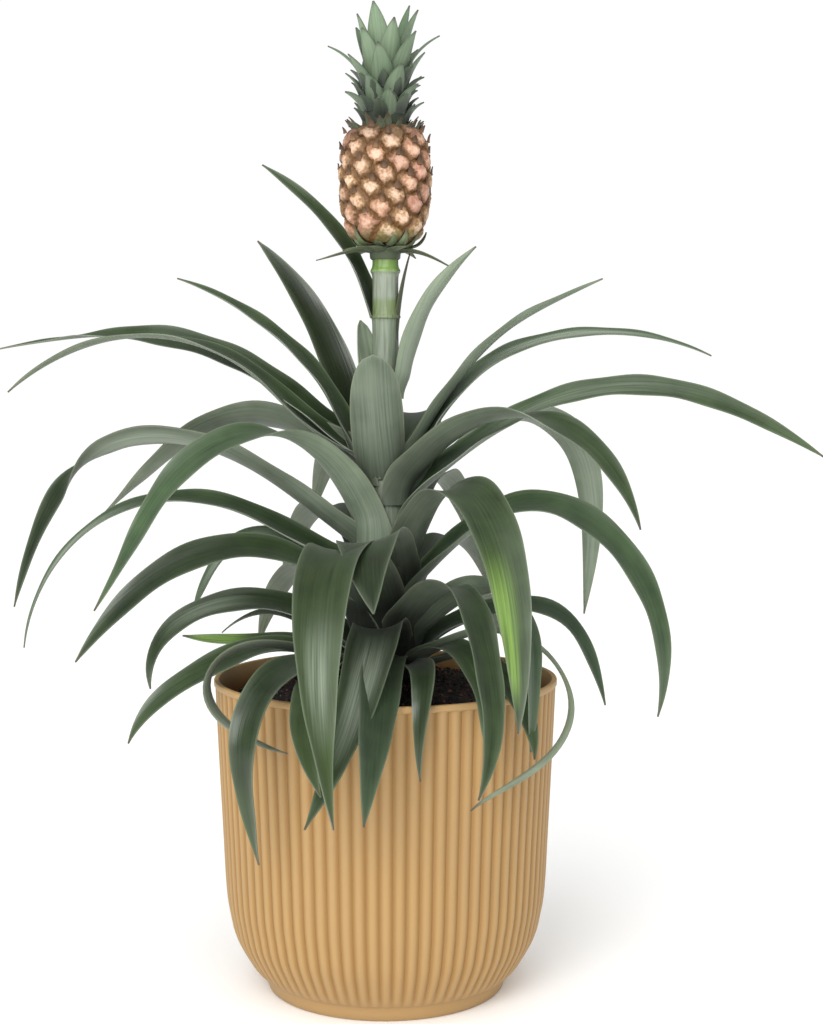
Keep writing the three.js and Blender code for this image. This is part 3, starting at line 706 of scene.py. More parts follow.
@dataclass
class PottingSoil:
    """Lumpy compost, mounded towards the stem, with loose crumbs on it."""

    radius: float = 66.0
    hole_radius: float = 11.5
    bottom: float = 100.0
    rings: int = 56
    segments: int = 220
    crumbs: int = 2600
    lump_mm: float = 1.1
    patch_mm: float = 5.0
    crumb_mm: tuple[float, float] = (0.25, 0.8)
    seed: int = 11

    # Mounded surface: share of the radius, height
    MOUND = ((0.15, 128), (0.24, 128), (0.4, 127.5), (0.66, 124.5), (0.9, 121), (1.0, 118))
    # Lumps of two sizes: how wide, which layer of the noise, how high beside lump_mm
    LUMPS = ((9, 0.3, 0.9), (2.6, 5.1, 0.9))
    # Some crumbs are larger than the others
    LARGE_SHARE, LARGE_SCALE = 0.08, 1.8

    def mound(self, share: Number) -> Number:
        """Height of the smooth mound at a share of the radius."""
        return np.interp(share, *np.array(self.MOUND).T)

    def lump(self, x: float, y: float) -> float:
        """How far the surface stands above the smooth mound at a place."""
        return self.lump_mm * sum(high * noise.noise(Vector((x / wide, y / wide, layer)))
                                  for wide, layer, high in self.LUMPS)

    def build(self) -> bpy.types.Object:
        """Makes the soil and dresses it."""
        surface = Surface()
        shares = np.linspace(self.hole_radius / self.radius, 1, self.rings)
        profile = np.stack([self.mound(shares), shares * self.radius], axis=1)
        top = turned_grid(profile, self.segments)
        top[:, 2] += [self.lump(x, y) for x, y, _ in top]
        rim = top[-self.segments:] * (1, 1, 0) + (0, 0, self.bottom)
        core = top[:self.segments] * (1, 1, 0) + (0, 0, self.bottom)
        points = np.concatenate([core, top, rim])
        faces = grid_faces(self.rings + 2, self.segments, around=True, flip=True)
        last = (self.rings + 1) * self.segments
        for j in range(self.segments):
            k = (j + 1) % self.segments
            faces.append((j, k, last + k, last + j))
        shade = [0.9 + 0.5 * noise.noise(Vector((x / self.patch_mm, y / self.patch_mm, 2.0)))
                 for x, y, _ in points]
        surface.add(points, faces, 0, {"crumb": np.array(shade)})
        self.scatter(surface)
        return surface.piece("soil_surface", "soil", "potting_soil", [PeatCompost("peat_compost")], 80)

    def scatter(self, surface: Surface) -> None:
        """Lays loose crumbs, each a dented ball of twenty faces, on the mound.

        Args:
            surface: the mesh that gets them.
        """
        draw = random.Random(self.seed)
        t = (1 + math.sqrt(5)) / 2
        corners = np.array([(-1, t, 0), (1, t, 0), (-1, -t, 0), (1, -t, 0), (0, -1, t), (0, 1, t),
                            (0, -1, -t), (0, 1, -t), (t, 0, -1), (t, 0, 1), (-t, 0, -1), (-t, 0, 1)])
        faces = [(0, 11, 5), (0, 5, 1), (0, 1, 7), (0, 7, 10), (0, 10, 11), (1, 5, 9), (5, 11, 4),
                 (11, 10, 2), (10, 7, 6), (7, 1, 8), (3, 9, 4), (3, 4, 2), (3, 2, 6), (3, 6, 8),
                 (3, 8, 9), (4, 9, 5), (2, 4, 11), (6, 2, 10), (8, 6, 7), (9, 8, 1)]
        ball_radius = 1.9
        for _ in range(self.crumbs):
            share = math.sqrt(draw.uniform(0.06, 0.93))
            angle = draw.uniform(0, 2 * math.pi)
            x = share * self.radius * math.cos(angle)
            y = share * self.radius * math.sin(angle)
            size = draw.uniform(*self.crumb_mm)
            size *= self.LARGE_SCALE if draw.random() < self.LARGE_SHARE else 1.0
            stretch = np.array([draw.uniform(*limits) for limits in ((0.6, 1.5), (0.6, 1.3), (0.5, 1.0))])
            turn = np.array(Euler([draw.uniform(0, 6) for _ in range(3)]).to_matrix())
            dents = np.array([[draw.uniform(0.8, 1.2)] for _ in corners])
            lump = corners / ball_radius * size * stretch * dents
            height = float(self.mound(share)) + self.lump(x, y) + 0.2 * size
            surface.add(lump @ turn.T + (x, y, height), faces, 0, {"crumb": draw.uniform(0.5, 1.7)})


@dataclass
class FlowerStalk:
    """The short stem in the soil and the stalk above it, with its swollen joints."""

    segments: int = 40
    steps: int = 6

    # Height, radius
    PROFILE = ((60.3, 8), (100, 12), (150, 12.4), (176, 10.6), (206, 7.4), (250, 5.6), (271, 5.3),
               (274, 6.1), (277, 5.4), (289.5, 5.2), (292.5, 6.0), (295, 5.2), (303, 5.2))
    # Shallow flutes of two kinds: depth, number around, phase
    FLUTES = ((0.12, 5, 0.4), (0.08, 9, 1.3))

    @classmethod
    def radius_at(cls, height: Number) -> Number:
        """Radius of the stem or stalk at a height."""
        return np.interp(height, *np.array(cls.PROFILE).T)

    def build(self) -> bpy.types.Object:
        """Makes the stalk and dresses it."""
        profile = curve_through(np.array(self.PROFILE, float), self.steps)
        points = turned_grid(profile, self.segments)
        angle = np.arctan2(points[:, 1], points[:, 0])
        flutes = sum(depth * np.sin(around * angle + phase) for depth, around, phase in self.FLUTES)
        radius = np.hypot(points[:, 0], points[:, 1])
        points[:, :2] *= (1 + flutes / radius)[:, None]
        faces = grid_faces(len(profile), self.segments, around=True)
        points = cap_ends(points, faces, self.segments)
        surface = Surface()
        surface.add(points, faces, 0, {"height": points[:, 2]})
        return surface.piece("flower_stalk", "stem", "stalk", [StalkSkin("stalk_skin")])


class Growth(Enum):
    """How a blade ends and how wide its base is."""

    POINTED = "pointed"
    BLUNT = "blunt"
    SPIKE = "spike"


class Strip(NamedTuple):
    """Rows along a blade: share of the length, middle, directions across and up, width and half the
    angle of its gutter."""

    share: np.ndarray
    middle: np.ndarray
    across: np.ndarray
    up: np.ndarray
    width: np.ndarray
    gutter: np.ndarray


@dataclass
class Blade:
    """A strap or a spike whose middle follows a few lean angles on a smooth curve.

    Attributes:
        name: the node that it belongs to.
        azimuth: direction of growth; 0 is right, 90 the back, 180 left and -90 the front.
        height: height of the root.
        length: length along the middle.
        lean: lean from the vertical, evenly spaced from root to tip.
        width: greatest width.
        turn: swing of the azimuth by the tip.
        twist: twist gained by the tip, beside the root_twist that it starts with.
        tone: darker or lighter than usual, -1 to 1, at the root and at the tip.
        warmth: bluish or yellowish, -1 to 1, at the root and at the tip.
        dry_from: share of the length where the dry tip starts; with 1 there is none.
        turn_over: the twist where the blade turns over, the share of the length where it does, and
            half the share that it takes.
        fresh: shares of the length where a yellow-green streak starts and ends, and its side: -1 or 1,
            or 0 for the whole width.
        wax: shares of the length where a pale waxy coat starts and ends, and its
            strength; the coat also paints highlights.
        growth: how it ends.
        start: distance of the root from the axis; by default it follows the core of the stem.
        thickness: thickness in the middle at the root and at the tip.
        edge: thickness at the edges.
        step_mm: length of a step along it; columns is the number of steps across it.
    """

    name: str
    azimuth: float
    height: float
    length: float
    lean: tuple[float, ...]
    width: float
    turn: float = 0.0
    twist: float = 0.0
    root_twist: float = 0.0
    tone: tuple[float, float] = (-0.25, 0.15)
    warmth: tuple[float, float] = (0.0, 0.0)
    dry_from: float = 0.93
    turn_over: tuple[float, float, float] = (0.0, 0.5, 0.1)
    fresh: tuple[float, float, float] | None = None
    wax: tuple[float, float, float] | None = None
    growth: Growth = Growth.POINTED
    start: float | None = None
    thickness: tuple[float, float] = (1.3, 0.55)
    edge: float = 0.36
    step_mm: float = 2.6
    columns: int = 12

    # Where leaves root in the stem: height, radius
    ROOT_CORE = ((60, 8), (150, 8.5), (205, 6), (250, 4.6), (330, 4))
    LEAST_STEPS = 10
    SUBSTEPS = 5
    # Width at the root beside the greatest one, and the share of the length that this takes
    BASE_SHARE = {Growth.POINTED: 1.2, Growth.BLUNT: 0.75}
    BASE_LENGTH_SHARE = 0.25
    # Powers of the taper: a higher first one starts it later, a lower second one ends it blunter
    TAPER = {Growth.POINTED: (2.7, 0.9), Growth.BLUNT: (5, 0.6), Growth.SPIKE: (3, 0.8)}
    SPIKE_THINNING = 0.35
    TIP_WIDTH = 0.5
    TWIST_POWER = 1.5
    # Half the angle of the gutter at the root and in the outer half, in radians
    GUTTER = (0.75, 0.4)
    # How full the blade is between its thick middle and its edges
    RIDGE_POWER = 1.6
    # Ripple of the edges: height, limits of its wavelength, width of a blade that has it in full
    WAVE_MM, WAVE_LENGTHS, WAVE_WIDTH = 0.35, (26, 38), 12
    # Base that clasps the stem: gap to the free blade and to the stem; height and greatest width,
    # as multiples of the stem's radius; width as a multiple of the blade's
    CLEAR_OF_STEM = 3.5
    CLASP_LENGTH_SHARE = 1.65
    CLASP_ROWS = 9
    CLASP_GAP = 0.35
    CLASP_WIDTH_SHARE = 1.55
    CLASP_MOST_AROUND = 2.8
    # Painted shade by a leaf's root: how much darker it is deep in the rosette and high up, between
    # which heights that changes, and how far along the leaf it reaches
    ROOT_TONE, ROOT_TONE_HEIGHTS, ROOT_TONE_LENGTH = (1.0, 0.3), (140, 185), 52.0
    # Shares of the length over which a streak comes and goes, and its fade across the blade
    STREAK_COMES, STREAK_GOES, STREAK_SIDE = 0.15, 0.08, (-0.55, 0.4)
    # Where across the blade the waxy coat and its painted highlight fade
    FILM_FADES = (0.2, 0.85)
    # A tip is almost quite dry at its end
    DRY_TO = 1.02

    def direction(self, u: np.ndarray) -> np.ndarray:
        """Unit vectors along the blade at shares of its length."""
        angles = np.array(self.lean, float)
        n = len(angles) - 1
        x = np.clip(u, 0, 1) * n
        i = np.minimum(x.astype(int), n - 1)
        padded = np.concatenate([[2 * angles[0] - angles[1]], angles, [2 * angles[-1] - angles[-2]]])
        tilt = np.radians(spline(padded[i], padded[i + 1], padded[i + 2], padded[i + 3], x - i))
        heading = self.heading(u)
        level = np.sin(tilt)
        return np.stack([level * np.cos(heading), level * np.sin(heading), np.cos(tilt)], axis=1)

    def heading(self, u: np.ndarray) -> np.ndarray:
        """Azimuth along the blade, in radians."""
        return np.radians(self.azimuth + self.turn * u * u)

    def path(self, steps: int) -> np.ndarray:
        """Points along the middle of the blade."""
        fine = steps * self.SUBSTEPS
        middle = (np.arange(fine) + 0.5) / fine
        travel = np.cumsum(self.direction(middle), axis=0)[self.SUBSTEPS - 1::self.SUBSTEPS]
        core = float(np.interp(self.height, *np.array(self.ROOT_CORE).T))
        start = core if self.start is None else self.start
        azimuth = math.radians(self.azimuth)
        root = np.array([start * math.cos(azimuth), start * math.sin(azimuth), self.height])
        return root + np.vstack([np.zeros(3), travel * self.length / fine])

    def widths(self, u: np.ndarray) -> np.ndarray:
        """Width along the blade."""
        late, blunt = self.TAPER[self.growth]
        if self.growth is Growth.SPIKE:
            base = 1 - self.SPIKE_THINNING * u * u
        else:
            base = between(self.BASE_SHARE[self.growth], 1, smoothstep(u, 0, self.BASE_LENGTH_SHARE))
        return np.maximum(self.width * base * (1 - u ** late) ** blunt, self.TIP_WIDTH)

    def frames(self, u: np.ndarray) -> tuple[np.ndarray, np.ndarray]:
        """Directions across the blade and up from its upper face."""
        heading = self.heading(u)
        side = np.stack([-np.sin(heading), np.cos(heading), np.zeros_like(heading)], axis=1)
        face = np.cross(self.direction(u), side)
        turn, place, half = self.turn_over
        turned = turn * smoothstep(u, place - half, place + half)
        twisted = np.radians(self.twist * u ** self.TWIST_POWER + self.root_twist + turned)[:, None]
        across = side * np.cos(twisted) + face * np.sin(twisted)
        up = face * np.cos(twisted) - side * np.sin(twisted)
        return across, up

    def clasp(self, strip: Strip) -> Strip:
        """Lets a leaf start as a broad base wrapped round the stem.

        Args:
            strip: the blade from its root inside the stem.

        Returns:
            The blade with its hidden inner end replaced by the clasping base.
        """
        radius = np.hypot(strip.middle[:, 0], strip.middle[:, 1])
        clear = radius > FlowerStalk.radius_at(strip.middle[:, 2]) + self.CLEAR_OF_STEM
        rest = Strip(*(rows[int(np.argmax(clear)):] for rows in strip))
        end = rest.middle[0]
        root = math.radians(self.azimuth)
        side = np.array([-math.sin(root), math.cos(root), 0.0])
        height = end[2] - self.CLASP_LENGTH_SHARE * float(FlowerStalk.radius_at(self.height))
        around = float(FlowerStalk.radius_at(height)) + self.CLASP_GAP
        foot = np.array([around * math.cos(root), around * math.sin(root), height])
        t = np.linspace(0, 1, self.CLASP_ROWS, endpoint=False)[:, None]
        reach = np.linalg.norm(end - foot)
        rise = np.array([0.0, 0.0, reach])
        leave = rest.middle[1] - end
        leave *= reach / np.linalg.norm(leave)
        middle = ((2 * t ** 3 - 3 * t ** 2 + 1) * foot + (t ** 3 - 2 * t ** 2 + t) * rise
                  + (3 * t ** 2 - 2 * t ** 3) * end + (t ** 3 - t ** 2) * leave)
        along = ((6 * t ** 2 - 6 * t) * (foot - end) + (3 * t ** 2 - 4 * t + 1) * rise
                 + (3 * t ** 2 - 2 * t) * leave)
        blend = smoothstep(t, 0, 1)
        up = np.cross(along, between(side, rest.across[0], blend))
        up /= np.linalg.norm(up, axis=1)[:, None]
        across = np.cross(up, along)
        across /= np.linalg.norm(across, axis=1)[:, None]
        foot_width = min(self.width * self.CLASP_WIDTH_SHARE, around * self.CLASP_MOST_AROUND)
        blend = blend[:, 0]
        width = between(foot_width, rest.width[0], blend)
        gutter = between(foot_width / (2 * around), rest.gutter[0], blend)
        base = Strip(t[:, 0] * rest.share[0], middle, across, up, width, gutter)
        return Strip(*(np.concatenate(rows) for rows in zip(base, rest)))

    def strip(self) -> Strip:
        """Rows of the blade from root to tip."""
        steps = max(self.LEAST_STEPS, round(self.length / self.step_mm))
        u = np.linspace(0, 1, steps + 1)
        gutter = between(*self.GUTTER, np.minimum(2 * u, 1))
        strip = Strip(u, self.path(steps), *self.frames(u), self.widths(u), gutter)
        return self.clasp(strip) if self.growth is Growth.POINTED and self.start is None else strip

    def patches(self, share: np.ndarray, x: np.ndarray) -> dict[str, np.ndarray]:
        """Strength of the yellow-green streak and of the pale waxy coat, which also paints highlights.

        Args:
            share: share of the length at each point.
            x: place across the blade, -1 to 1.

        Returns:
            A value for each point, by the mark's name.
        """
        start, end, side = self.fresh or (0, 1, 0)
        streak = hump(share, (start, start + self.STREAK_COMES), (end - self.STREAK_GOES, end))
        streak *= smoothstep(x * side, *self.STREAK_SIDE) if side else bool(self.fresh)
        # The waxy coat, which also paints highlights
        start, end, strength = self.wax or (0, 1, 0)
        middle = (start + end) / 2
        highlight_film = strength * hump(share, (start, middle), (middle, end))
        return {"fresh": streak, "wax": highlight_film * (1 - smoothstep(np.abs(x), *self.FILM_FADES))}

    def grow(self, surface: Surface, slot: int = 0) -> None:
        """Adds the blade to a mesh.

        Args:
            surface: the mesh.
            slot: material slot of the upper face; the under face has the next one.
        """
        u, middle, across, up, width, gutter = self.strip()
        x = np.linspace(-1, 1, self.columns + 1)
        draw = random.Random(self.name + str(round(self.azimuth)))
        phase = draw.uniform(0, 6)
        ripple = np.sin(2 * math.pi * u * self.length / draw.uniform(*self.WAVE_LENGTHS) + phase)
        wave = self.WAVE_MM * np.minimum(width / self.WAVE_WIDTH, 1) * ripple
        curl = (width / (2 * gutter))[:, None]
        angle = gutter[:, None] * x
        out = curl * np.sin(angle)
        lift = curl * (1 - np.cos(angle)) + wave[:, None] * x ** 3
        upper = middle[:, None] + across[:, None] * out[..., None] + up[:, None] * lift[..., None]
        normal = up[:, None] * np.cos(angle)[..., None] - across[:, None] * np.sin(angle)[..., None]
        depth = between(self.edge, between(*self.thickness, u)[:, None], 1 - np.abs(x) ** self.RIDGE_POWER)
        lower = upper - normal * depth[..., None]
        columns = self.columns + 1
        sheet = len(u) * columns
        end = sheet - columns
        faces = grid_faces(len(u), columns)
        under = grid_faces(len(u), columns, sheet, flip=True)
        rim = []
        for a in range(0, end, columns):
            b = a + columns
            rim.append((a, b, b + sheet, a + sheet))
            right = a + self.columns
            rim.append((right, right + sheet, right + columns + sheet, right + columns))
        for j in range(self.columns):
            rim.append((j, j + sheet, j + 1 + sheet, j + 1))
            rim.append((end + j, end + j + 1, end + j + 1 + sheet, end + j + sheet))
        slots = [slot] * len(faces) + [slot + 1] * len(under) + [slot] * len(rim)
        travel = np.concatenate([[0], np.cumsum(np.linalg.norm(np.diff(middle, axis=0), axis=1))])
        along, share = (np.repeat(rows[:, None], columns, axis=1) for rows in (travel, u))
        # Painted shade by the root, darkest deep in the rosette
        root_shade = between(*self.ROOT_TONE, smoothstep(self.height, *self.ROOT_TONE_HEIGHTS))
        inner = 1 - smoothstep(along, 0, self.ROOT_TONE_LENGTH)
        marks = {
            "along": along + draw.uniform(0, 500),
            "across": out + draw.uniform(0, 50),
            "margin": (width[:, None] / 2) * (1 - np.abs(x)),
            "tone": between(*self.tone, share) - root_shade * inner,
            "warmth": between(*self.warmth, share),
            "dry": smoothstep(share, self.dry_from, self.DRY_TO) * (self.dry_from < 1),
            **self.patches(share, x),
        }
        points = np.concatenate([upper.reshape(-1, 3), lower.reshape(-1, 3)])
        doubled = {name: np.tile(value.reshape(-1), 2) for name, value in marks.items()}
        surface.add(points, [*faces, *under, *rim], slots, doubled)


# The leaves that the front shows; on some the waxy coat paints highlights
SEEN_LEAVES = (
    Blade("leaf_left_01", 160, 274, 82, (16, 25, 40, 50, 58), 10, 0, -35, -12, start=4.4),
    Blade("leaf_left_02", 147, 213, 112, (32, 20, 28, 40, 50), 16, 0, -25, -25, tone=(-0.85, -0.75),
          warmth=(0.15, 0.1)),
    Blade("leaf_left_03", 173, 209, 118, (28, 26, 45, 58, 72), 14, 0, -5, -16),
    Blade("leaf_left_04", 166, 215, 172, (54, 52, 72, 93, 101), 18, 20, -45, -15, turn_over=(45, 0.72, 0.12)),
    Blade("leaf_left_05", 178, 219, 168, (76, 46, 73, 105, 132), 15, 0, 50, -25),
    Blade("leaf_left_06", 154, 213, 148, (66, 68, 106, 128, 130), 20, 5, -50, 48),
    Blade("leaf_left_07", 212, 182, 172, (14, 50, 108, 148, 148), 20, -25, -5, 14,
          turn_over=(-38, 0.4, 0.15), tone=(0.5, 0.9), warmth=(-0.2, -0.4)),
    Blade("leaf_left_08", 163, 179, 212, (54, 59, 91, 146, 166), 19, 10, -10, 32,
          turn_over=(-85, 0.68, 0.08), tone=(0.0, -0.6), warmth=(-0.2, 0.0), wax=(0.3, 0.74, 2.0)),
    Blade("leaf_left_09", 165, 169, 192, (64, 65, 98, 137, 173), 14, 10, -12, -16, tone=(-0.2, 0.8),
          warmth=(0.0, -0.6), wax=(0.5, 1.0, 1.4)),
    Blade("leaf_left_10", 147, 163, 110, (80, 60, 86, 138, 158), 16, 10, -85, 5, tone=(0.3, 1.0),
          warmth=(-0.4, -0.5), wax=(0.4, 1.0, 1.8)),
    Blade("leaf_left_11", 198, 153, 143, (40, 62, 100, 130, 145), 20, -8, -30, -20, tone=(0.0, -0.4)),
    Blade("leaf_left_12", 160, 136, 72, (66, 64, 74, 106, 132), 9, -5, 0, -16),
    Blade("leaf_left_13", 174, 136, 117, (44, 66, 95, 130, 190), 18, 10, -42, -14, tone=(-0.2, 0.0),
          wax=(0.4, 0.85, 0.9)),
    Blade("leaf_left_14", 186, 135, 76, (78, 74, 88, 88, 82), 14, -20, -20, -10, fresh=(0.6, 0.99, 0)),
    Blade("leaf_left_15", 203, 133, 113, (78, 74, 108, 122, 158), 18, -12, -45, -4),
    Blade("leaf_left_16", 229, 133, 136, (84, 70, 102, 222, 272), 7, -100, 8, 32,
          tone=(-0.9, -0.4), warmth=(-0.5, -0.5)),
    Blade("leaf_left_17", 238, 130, 152, (84, 75, 114, 186, 200), 17, 5, 30, -18,
          tone=(-0.3, -0.4), warmth=(-0.5, 0.2)),
    Blade("leaf_right_01", -30, 226, 87, (10, 8, 22, 42, 56), 11.5, -4, -30, -4, tone=(1.0, 1.0),
          warmth=(-0.2, -0.3), wax=(0.0, 1.0, 1.8)),
    Blade("leaf_right_02", 4, 212, 117, (30, 33, 44, 62, 66), 13, 0, -5, -17, tone=(0.2, 1.0),
          warmth=(-0.4, -0.5), wax=(0.1, 1.0, 1.8)),
    Blade("leaf_right_03", 12, 207, 161, (26, 40, 72, 93, 114), 14, -5, 10, 14, tone=(0.3, 0.7),
          warmth=(-0.5, -0.5), wax=(0.2, 1.0, 1.6)),
    Blade("leaf_right_04", -22, 203, 133, (34, 56, 97, 136, 162), 22, 0, 0, -14, turn_over=(38, 0.52, 0.16)),
    Blade("leaf_right_05", 0, 197, 193, (44, 57, 82, 110, 124), 16, -5, 60, 12, tone=(0.3, 0.3),
          warmth=(-0.4, 0.1), wax=(0.1, 0.8, 0.6)),
    Blade("leaf_right_06", 38, 196, 203, (50, 63, 110, 172, 205), 19, 30, 15, -30, tone=(0.3, 0.9),
          warmth=(-0.4, -0.6), wax=(0.45, 1.0, 1.4)),
    Blade("leaf_right_07", -16, 161, 178, (40, 56, 120, 160, 193), 20, 5, 35, 15, tone=(0.3, 0.8),
          warmth=(-0.3, -0.3)),
    Blade("leaf_right_08", -58, 152, 196, (10, 44, 116, 145, 145), 24, -40, -36, 21, fresh=(0.6, 0.97, -1)),
    Blade("leaf_right_09", -58, 143, 156, (38, 68, 137, 131, 128), 17, -57, -35, -6),
    Blade("leaf_right_10", -36, 142, 132, (46, 60, 108, 166, 174), 16, -90, -40, -22,
          tone=(0.2, 0.5), warmth=(-0.3, -0.5)),
    Blade("leaf_right_11", -44, 135, 168, (66, 76, 150, 238, 270), 6, 118, 0, -20, tone=(0.2, 0.9),
          warmth=(-0.2, -0.4), dry_from=0.86, wax=(0.62, 1.0, 1.6)),
    Blade("leaf_right_12", -6, 131, 114, (30, 63, 88, 148, 166), 15, -20, 5, 20, tone=(0.0, 0.3),
          warmth=(-0.4, -0.6)),
    Blade("leaf_right_13", -50, 131, 97, (64, 66, 112, 124, 220), 14, -60, 0, 8),
    Blade("leaf_right_14", -38, 128.5, 103, (62, 73, 113, 124, 122), 13, -60, 10, 6),
    Blade("leaf_front_01", -100, 209, 57, (28, 28, 28, 30, 33), 22, 6, -20, 20,
          growth=Growth.BLUNT, dry_from=1, tone=(0.0, 0.1), warmth=(-0.3, -0.3), wax=(0.0, 1.0, 0.6)),
    Blade("leaf_front_02", -97, 158, 110, (14, 58, 84, 116, 136), 32, 14, 20, 5, dry_from=1,
          tone=(-0.2, -0.6)),
    Blade("leaf_front_03", -108, 143, 202, (18, 64, 118, 144, 149), 25, 41, -46, 12,
          tone=(-0.3, -0.3), warmth=(-0.2, 0.3), wax=(0.58, 0.9, 0.8)),
    Blade("leaf_front_04", -94, 137, 142, (28, 96, 122, 128, 130), 22, -30, 0, 6,
          tone=(-0.7, 0.1), wax=(0.22, 0.85, 1.3)),
    Blade("leaf_front_05", -92, 132, 146, (44, 98, 110, 112, 128), 19, -3, 0, -28, warmth=(-0.4, -0.3)),
    Blade("leaf_front_06", -115, 129, 131, (62, 82, 106, 117, 126), 18, 50, -5, 16,
          tone=(-0.1, -0.4), warmth=(-0.2, 0.3)),
    Blade("leaf_front_07", -72, 129.5, 100, (64, 78, 96, 158, 190), 12, -54, 12, 8, tone=(-0.6, -0.4)),
    Blade("sheath_left", 140, 228, 46, (12, 10, 10, 12, 14), 15, growth=Growth.BLUNT, dry_from=1,
          start=4.2, thickness=(0.9, 0.55), tone=(1.0, 1.0)),
)


@dataclass
class Rosette:
    """All the large leaves: those that the front shows and those at the back, placed by a rule."""

    back_count: int = 8
    back_top: float = 204.0
    back_step: float = 10.0
    back_length: float = 150.0
    back_shortening: float = 4.0
    back_width: float = 19.0
    back_twist: float = 20.0

    # Lean of the first leaf and its distance round from the middle of the back, with the steps
    BACK_LEAN, BACK_LEAN_STEP = (30, 50, 84, 118, 142), 2.5
    BACK_FROM, BACK_SPREAD = 8, 4

    def back_leaves(self) -> list[Blade]:
        """Leaves at the back, each lower, shorter and further round than the one before."""
        leaves = []
        for i in range(self.back_count):
            side = 1 if i % 2 == 0 else -1
            leaves.append(Blade(
                f"leaf_back_0{i + 1}",
                90 + side * (self.BACK_FROM + self.BACK_SPREAD * i),
                self.back_top - self.back_step * i,
                self.back_length - self.back_shortening * i,
                tuple(angle + self.BACK_LEAN_STEP * i for angle in self.BACK_LEAN),
                self.back_width,
                twist=self.back_twist * side,
            ))
        return leaves

    def build(self) -> list[bpy.types.Object]:
        """Makes each leaf and dresses it."""
        pieces = []
        for leaf in (*SEEN_LEAVES, *self.back_leaves()):
            surface = Surface()
            leaf.grow(surface)
            upper = UNDER_SKIN if leaf.growth is Growth.BLUNT else UPPER_SKIN
            pieces.append(surface.piece(f"{leaf.name}_blade", leaf.name, "leaf", [upper, UNDER_SKIN]))
        return pieces


@dataclass
class StalkBract:
    """The narrow bract that stands against the stalk."""

    azimuth: float = -15.0
    height: float = 264.0
    length: float = 36.0
    lean: tuple[float, ...] = (6, 6, 9, 12, 16)
    width: float = 5.0
    start: float = 4.2

    def build(self) -> bpy.types.Object:
        """Makes the bract and dresses it."""
        surface = Surface()
        Blade("bract_right", self.azimuth, self.height, self.length, self.lean, self.width, start=self.start,
              thickness=(0.9, 0.5), tone=(-0.3, -0.6), dry_from=0.5, columns=6).grow(surface)
        return surface.piece("bract_right_blade", "bract_right", "bract", BRACT_SKINS)


@dataclass
class FruitBracts:
    """Thin bracts on a collar just under the fruit."""

    height: float = 300.4
    start: float = 5.6
    inner_radius: float = 5.5
    collar_bottom: float = 297.0
    collar_top: float = 302.6
    segments: int = 36

    # Azimuth, length, lean angles, width
    SHAPES = (
        (190, 23, (80, 94, 104, 106, 104), 5.5),
        (-4, 25, (82, 100, 112, 118, 122), 5.5),
        (222, 17, (76, 84, 92, 100, 104), 6),
        (250, 12, (78, 80, 84, 88, 92), 6),
        (300, 12, (78, 80, 84, 90, 96), 6),
        (60, 20, (76, 84, 94, 104, 110), 5),
        (120, 22, (76, 84, 94, 104, 112), 5),
    )
    # The collar's skin: far from an edge, and rather dark
    COLLAR_MARKS = {"across": 40.0, "margin": 5.0, "tone": -0.5}

    def build(self) -> bpy.types.Object:
        """Makes the collar and its bracts and dresses them."""
        surface = Surface()
        for azimuth, length, lean, width in self.SHAPES:
            Blade("fruit_bracts", azimuth, self.height, length, lean, width, growth=Growth.SPIKE,
                  start=self.start, thickness=(0.9, 0.4), step_mm=1.2, columns=6,
                  dry_from=0.85).grow(surface)
        profile = np.array([
            (self.collar_bottom, self.inner_radius),
            (self.collar_bottom + 0.6, self.inner_radius + 0.6),
            (self.collar_top - 0.4, self.inner_radius + 1.0),
            (self.collar_top, self.inner_radius + 0.7),
            (self.collar_top, self.inner_radius),
            (self.collar_bottom, self.inner_radius),
        ])
        points = turned_grid(profile, self.segments)
        faces = grid_faces(len(profile), self.segments, around=True)
        surface.add(points, faces, 1, {"along": points[:, 2], **self.COLLAR_MARKS})
        return surface.piece("fruit_bracts_blades", "fruit_bracts", "bract", BRACT_SKINS)


class Draws:
    """Numbers from 0 to 1 in a fixed order, each worked out from the one before."""

    MULTIPLIER = 1664525
    STEP = 1013904223
    RANGE = 2 ** 32

    def __init__(self, seed: int) -> None:
        """Starts from a seed."""
        self.state = seed

    def next(self) -> float:
        """The next number."""
        self.state = (self.state * self.MULTIPLIER + self.STEP) % self.RANGE
        return self.state / self.RANGE


